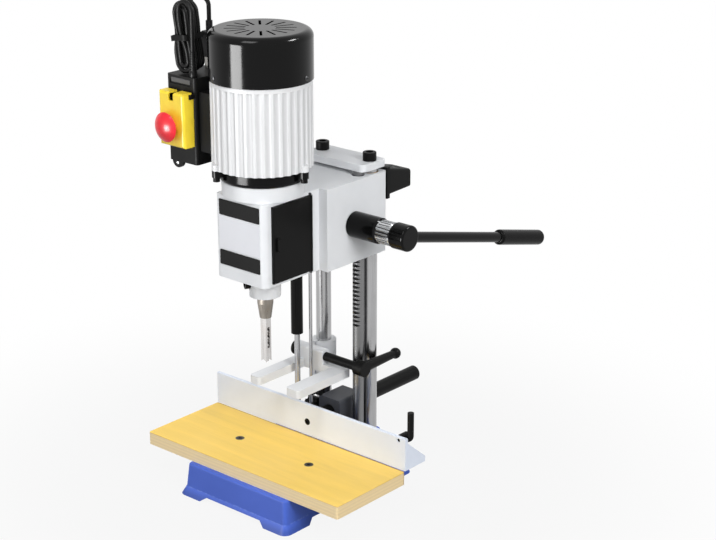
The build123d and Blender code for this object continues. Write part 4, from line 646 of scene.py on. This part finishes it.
# Pieces that repeat or follow a path, with sizes in metres
class Shape(Nodes):
    """A geometry node tree with named sizes, made into one plain mesh."""

    KINDS = {int: "NodeSocketInt", float: "NodeSocketFloat"}

    def __init__(self, name, sizes):
        super().__init__(bpy.data.node_groups.new(name, "GeometryNodeTree"))
        self.name = name
        self.sizes = sizes
        interface = self.tree.interface
        interface.new_socket("Geometry", in_out="OUTPUT", socket_type="NodeSocketGeometry")
        interface.new_socket("Places", in_out="INPUT", socket_type="NodeSocketGeometry")
        for size, value in sizes.items():
            interface.new_socket(size, in_out="INPUT", socket_type=self.KINDS[type(value)])
        self.places, *self.given = self.outputs("NodeGroupInput", {}, {}, ["Places", *sizes])

    def vector(self, x, y, z):
        """A vector of three numbers or Values."""
        return self.node("ShaderNodeCombineXYZ", {}, {0: x, 1: y, 2: z})

    def moved(self, geometry, translation=(0, 0, 0), rotation=(0, 0, 0), scale=(1, 1, 1)):
        """Geometry scaled, turned and moved."""
        sockets = {"Geometry": geometry, "Translation": translation, "Rotation": rotation, "Scale": scale}
        return self.node("GeometryNodeTransform", {}, sockets)

    def joined(self, *geometries):
        """Several geometries as one, in the order given."""
        return self.node("GeometryNodeJoinGeometry", {}, {0: list(reversed(geometries))})

    def mesh(self, geometry, material, places=(), sharp=35):
        """The finished mesh; places are pairs of a point and the way it faces."""
        whole = self.node("GeometryNodeRealizeInstances", {}, {"Geometry": geometry})
        painted = self.node("GeometryNodeSetMaterial", {}, {"Geometry": whole, "Material": material})
        self.node("NodeGroupOutput", {}, {0: painted})
        host = bpy.data.meshes.new(self.name)
        host.from_pydata([point for point, way in places], [], [])
        facing = host.attributes.new("facing", "FLOAT_VECTOR", "POINT")
        for spot, (point, way) in zip(facing.data, places):
            spot.vector = way
        carrier = add_object(self.name, host)
        maker = carrier.modifiers.new(self.name, "NODES")
        maker.node_group = self.tree
        for item in self.tree.interface.items_tree:
            if item.in_out == "INPUT" and item.name in self.sizes:
                maker[item.identifier] = self.sizes[item.name]
        graph = bpy.context.evaluated_depsgraph_get()
        made = bpy.data.meshes.new_from_object(carrier.evaluated_get(graph))
        carrier.modifiers.remove(maker)
        bpy.data.objects.remove(carrier)
        bpy.data.meshes.remove(host)
        made.name = self.name
        return smooth(made, sharp)


def round_head_screws(name, material, places, head_radius, head_height):
    """Domed screw heads with a cross recess, one at each place."""
    recess_width, recess_length = head_radius * 0.26, head_radius * 1.25
    shape = Shape(name, {"Head Radius": head_radius, "Head Height": head_height,
                         "Recess Width": recess_width, "Recess Length": recess_length})
    radius, height, wide, long = shape.given
    ball = shape.node("GeometryNodeMeshUVSphere", {}, {"Segments": 32, "Rings": 16, "Radius": 1.0})
    dome = shape.moved(ball, scale=shape.vector(radius, radius, height))
    bars = [shape.node("GeometryNodeMeshCube", {}, {"Size": shape.vector(x, y, height)})
            for x, y in ((wide, long), (long, wide))]
    recess = [shape.moved(bar, translation=shape.vector(0.0, 0.0, height)) for bar in bars]
    cross = shape.node("GeometryNodeMeshBoolean", {"operation": "UNION"}, {1: recess})
    head = shape.node("GeometryNodeMeshBoolean", {"operation": "DIFFERENCE"}, {0: dome, 1: cross})
    way = shape.node("GeometryNodeInputNamedAttribute", {"data_type": "FLOAT_VECTOR"}, {"Name": "facing"})
    turn = shape.node("FunctionNodeAlignRotationToVector", {"axis": "Z"}, {"Vector": way})
    sockets = {"Points": shape.places, "Instance": head, "Rotation": turn}
    heads = shape.node("GeometryNodeInstanceOnPoints", {}, sockets)
    return shape.mesh(heads, material, places, sharp=28)


def ring_ridges(name, material, centre, count, ring_radius, ridge_radius, ridge_length):
    """Straight knurling: round ridges along X, set round a ring."""
    shape = Shape(name, {"Count": count, "Ring Radius": ring_radius, "Ridge Radius": ridge_radius,
                         "Ridge Length": ridge_length})
    number, around, radius, length = shape.given
    circle = shape.node("GeometryNodeMeshCircle", {}, {"Vertices": number, "Radius": around})
    ridge = shape.node("GeometryNodeMeshCylinder", {}, {"Vertices": 10, "Radius": radius, "Depth": length})
    ridges = shape.node("GeometryNodeInstanceOnPoints", {}, {"Points": circle, "Instance": ridge})
    laid = shape.moved(ridges, translation=centre, rotation=(0, math.pi / 2, 0))
    return shape.mesh(laid, material, sharp=40)


def twisted_bit(name, material, low, high, twist_length, width, thickness, turns, point_length):
    """Auger bit: a flat bar twisted about its axis, a round shank above it and a brad point below."""
    steps_a_turn = 40
    tip_radius = 0.2 * MM
    shank_length = high.z - low.z - point_length - twist_length
    shape = Shape(name, {"Twist Length": twist_length, "Shank Length": shank_length, "Width": width,
                         "Thickness": thickness, "Turns": float(turns), "Point Length": point_length})
    twist, shank, wide, thick, wound, point = shape.given
    line = shape.node("GeometryNodeCurvePrimitiveLine", {}, {"End": shape.vector(0.0, 0.0, twist)})
    steps = shape.node("GeometryNodeResampleCurve", {}, {"Curve": line, "Count": steps_a_turn * turns})
    along = shape.node("GeometryNodeSplineParameter", {}, {}, "Factor")
    tilt = along * wound * (2 * math.pi)
    helix = shape.node("GeometryNodeSetCurveTilt", {}, {"Curve": steps, "Tilt": tilt})
    strip = shape.node("GeometryNodeCurvePrimitiveQuadrilateral", {}, {"Width": wide, "Height": thick})
    sockets = {"Curve": helix, "Profile Curve": strip, "Fill Caps": True}
    flutes = shape.node("GeometryNodeCurveToMesh", {}, sockets)
    sockets = {"Vertices": 32, "Radius": wide / 2, "Depth": shank}
    round_bar = shape.node("GeometryNodeMeshCylinder", {}, sockets)
    sockets = {"Vertices": 16, "Radius Top": thick / 2, "Radius Bottom": tip_radius, "Depth": point}
    brad = shape.node("GeometryNodeMeshCone", {}, sockets)
    bar = shape.moved(round_bar, shape.vector(0.0, 0.0, twist + shank / 2))
    tip = shape.moved(brad, shape.vector(0.0, 0.0, 0.0 - point))
    axis = (low + high) / 2
    placed = shape.moved(shape.joined(flutes, bar, tip), (axis.x, axis.y, low.z + point_length))
    return shape.mesh(placed, material)


# Fan cover's screws
cover_low, cover_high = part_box("fan_cover")
cover_axis = centre_of("fan_cover")
cover_radius = (cover_high.x - cover_low.x) / 2
cover_screw_z = cover_low.z + 7.0 * MM
cover_screw_turns = (11, 131, 251)
cover_places = []
for degrees in cover_screw_turns:
    turn = math.radians(degrees)
    outward = Vector((math.cos(turn), math.sin(turn), 0.0))
    spot = Vector((cover_axis.x, cover_axis.y, cover_screw_z)) + outward * cover_radius
    cover_places.append((spot, outward))
cover_screws = round_head_screws("fan_cover_screws", dark_steel, cover_places,
                                 head_radius=3.4 * MM, head_height=1.9 * MM)
new_piece(cover_screws, "head", "dark_steel")

# Screw through the ear below the switch, placed in millimetres as the ear is on the switch box
ear_radius = 10.0
ear_x = switch_low.x + (switch_high.x - switch_low.x) / 4
ear_face = switch_low.y + ear_radius / 4
ear_spot = Vector((ear_x, ear_face, switch_low.z + ear_radius * 2 / 3)) * MM
ear_screw = round_head_screws("switch_ear_screw", rod_steel, [(ear_spot, Vector((0.0, -1.0, 0.0)))],
                              head_radius=2.7 * MM, head_height=1.4 * MM)
new_piece(ear_screw, "head", "bright_steel")

# Knurled ring on the lever's hub
ring_low, ring_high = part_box("hub_ring")
ring_rims = 6.0 * MM
knurling = ring_ridges("hub_ring_knurl", ring_chrome, centre_of("hub_ring"), count=22,
                       ring_radius=(ring_high.z - ring_low.z) / 2, ridge_radius=1.1 * MM,
                       ridge_length=ring_high.x - ring_low.x - ring_rims)
new_piece(knurling, "lever", "chrome")

# Auger bit inside the hollow chisel
bit_low, bit_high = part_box("auger_bit")
auger = twisted_bit("auger_twist", bright_steel, bit_low, bit_high, twist_length=80.0 * MM, width=6.6 * MM,
                    thickness=2.4 * MM, turns=4, point_length=3.0 * MM)
new_piece(auger, "spindle", "bright_steel", "auger_bit")


# Bare strip above the switch's flap
def rounded_plate(name, material, low, high, corner, edge):
    """A thin plate with round corners, lying in an XZ plane and facing -Y; sizes in metres."""
    steps = 6
    bm = bmesh.new()
    outline = []
    for cx, cz, start in ((high.x - corner, high.z - corner, 0), (low.x + corner, high.z - corner, 90),
                          (low.x + corner, low.z + corner, 180), (high.x - corner, low.z + corner, 270)):
        for i in range(steps + 1):
            a = math.radians(start + 90 * i / steps)
            outline.append((cx, cz, math.cos(a), math.sin(a)))
    rings = []
    for reach, y in ((corner, high.y), (corner, low.y + edge), (corner - edge, low.y)):
        rings.append([bm.verts.new((cx + reach * c, y, cz + reach * s)) for cx, cz, c, s in outline])
    wall(bm, rings)
    bm.faces.new(rings[0])
    bm.faces.new(list(reversed(rings[-1])))
    return closed(bm, name, material, sharp=30)


# Its place on the switch box, in millimetres
strip_margin = 9.0
strip_front, strip_back = switch_low.y - 0.6, switch_low.y + 0.2
strip_bottom, strip_top = switch_high.z - 9.4, switch_high.z - 3.4
strip_low = Vector((switch_low.x + strip_margin, strip_front, strip_bottom)) * MM
strip_high = Vector((switch_high.x - strip_margin, strip_back, strip_top)) * MM
bare_strip = rounded_plate("switch_bare_strip", strip_grey, strip_low, strip_high,
                           corner=1.2 * MM, edge=0.25 * MM)
new_piece(bare_strip, "head", "black_plastic")


# Stage: pale floor, white surroundings, soft lamps, and the camera at the photograph's view
def seen_directly(tree):
    """1 for the rays that show the background itself, 0 for the light it gives."""
    rays = ["Is Camera Ray", "Is Glossy Ray", "Is Transmission Ray"]
    camera_ray, glossy_ray, clear_ray = tree.outputs("ShaderNodeLightPath", {}, {}, rays)
    return (camera_ray + glossy_ray + clear_ray).clamped(0.0, 1.0)


floor_half, floor_z = 6.0, -0.4 * MM
floor_corners = [(x * floor_half, y * floor_half, floor_z) for x, y in ((-1, -1), (1, -1), (1, 1), (-1, 1))]
floor_mesh = bpy.data.meshes.new("floor")
floor_mesh.from_pydata(floor_corners, [], [(0, 1, 2, 3)])
floor = add_object("floor", floor_mesh)
floor_white = bpy.data.materials.new("floor_white")
floor_white.use_nodes = True
ground = Nodes(floor_white.node_tree)
shadow_share, shadow_near, shadow_far = 0.10, 0.25, 0.8
away = ground.node("ShaderNodeVectorMath", {"operation": "LENGTH"}, {0: ground.place()}, "Value")
paint = ground.node("ShaderNodeBsdfDiffuse", {}, {"Color": (0.25, 0.25, 0.25)})
glow = ground.node("ShaderNodeEmission", {}, {"Color": (1, 1, 1), "Strength": 1.0})
glowing = 1.0 - shadow_share + away.ramp(shadow_near, shadow_far) * shadow_share
whiteness = seen_directly(ground) * glowing
surface = ground.node("ShaderNodeMixShader", {}, {0: whiteness, 1: paint, 2: glow})
ground.node("ShaderNodeOutputMaterial", {}, {"Surface": surface})
floor_mesh.materials.append(floor_white)

world = bpy.data.worlds.new("studio")
scene.world = world
world.use_nodes = True
studio = Nodes(world.node_tree)
soft_light = studio.node("ShaderNodeBackground", {}, {"Color": (0.97, 0.98, 1.0), "Strength": 0.17})
backdrop = studio.node("ShaderNodeBackground", {}, {"Color": (1, 1, 1), "Strength": 1.0})
around = studio.node("ShaderNodeMixShader", {}, {0: seen_directly(studio), 1: soft_light, 2: backdrop})
studio.node("ShaderNodeOutputWorld", {}, {"Surface": around})


def lamp(name, place, aim, power, size, lights=True, shines=True):
    """A soft rectangular lamp, which may light surfaces, shine in their gloss, or do both."""
    light = bpy.data.lights.new(name, "AREA")
    light.shape = "RECTANGLE"
    light.size, light.size_y = size
    light.energy = power
    made = add_object(name, light)
    made.location = place
    made.rotation_euler = (Vector(aim) - Vector(place)).to_track_quat("-Z", "Y").to_euler()
    made.visible_camera = False
    made.visible_diffuse = lights
    made.visible_glossy = shines


lamp("key_front_left", (-0.48, -1.38, 0.66), (0.0, 0.0, 0.60), power=5.5, size=(0.60, 1.25), shines=False)
lamp("gloss_front_left", (-0.24, -1.45, 0.33), (0.0, 0.0, 0.60), power=44.0, size=(0.62, 0.60), lights=False)
lamp("gloss_back_right", (1.33, 0.93, 1.84), (0.0, 0.0, 0.64), power=34.0, size=(0.60, 0.30), lights=False)
lamp("top_front", (0.2, -1.1, 2.0), (0.0, -0.05, 0.40), power=14.0, size=(0.7, 0.7))
lamp("fill_right", (1.95, -0.5, 1.35), (0.0, 0.0, 0.40), power=35.0, size=(1.0, 1.0), shines=False)
lamp("fill_front_right", (1.05, -1.55, 0.95), (0.0, 0.0, 0.50), power=8.5, size=(0.8, 0.8), shines=False)
lamp("fill_behind", (-0.5, 2.1, 1.0), (0.0, 0.0, 0.40), power=20.0, size=(1.2, 1.2), shines=False)
lamp("fill_left", (-2.0, 0.1, 0.85), (0.0, 0.0, 0.40), power=18.0, size=(1.2, 1.2), shines=False)

photo_width, focal_pixels = 716.0, 1800.0
sensor_width = 36.0
pitch_down, azimuth = 19.553, 40.95
camera_data = bpy.data.cameras.new("photo_view")
camera_data.sensor_fit = "HORIZONTAL"
camera_data.sensor_width = sensor_width
camera_data.lens = sensor_width * focal_pixels / photo_width
camera_data.clip_start, camera_data.clip_end = 0.05, 30.0
camera = add_object("photo_view", camera_data)
camera.location = (1.584643, -1.709397, 1.143693)
camera.rotation_euler = (math.radians(90 - pitch_down), 0.0, math.radians(azimuth))
scene.camera = camera
scene.view_settings.view_transform = "Standard"
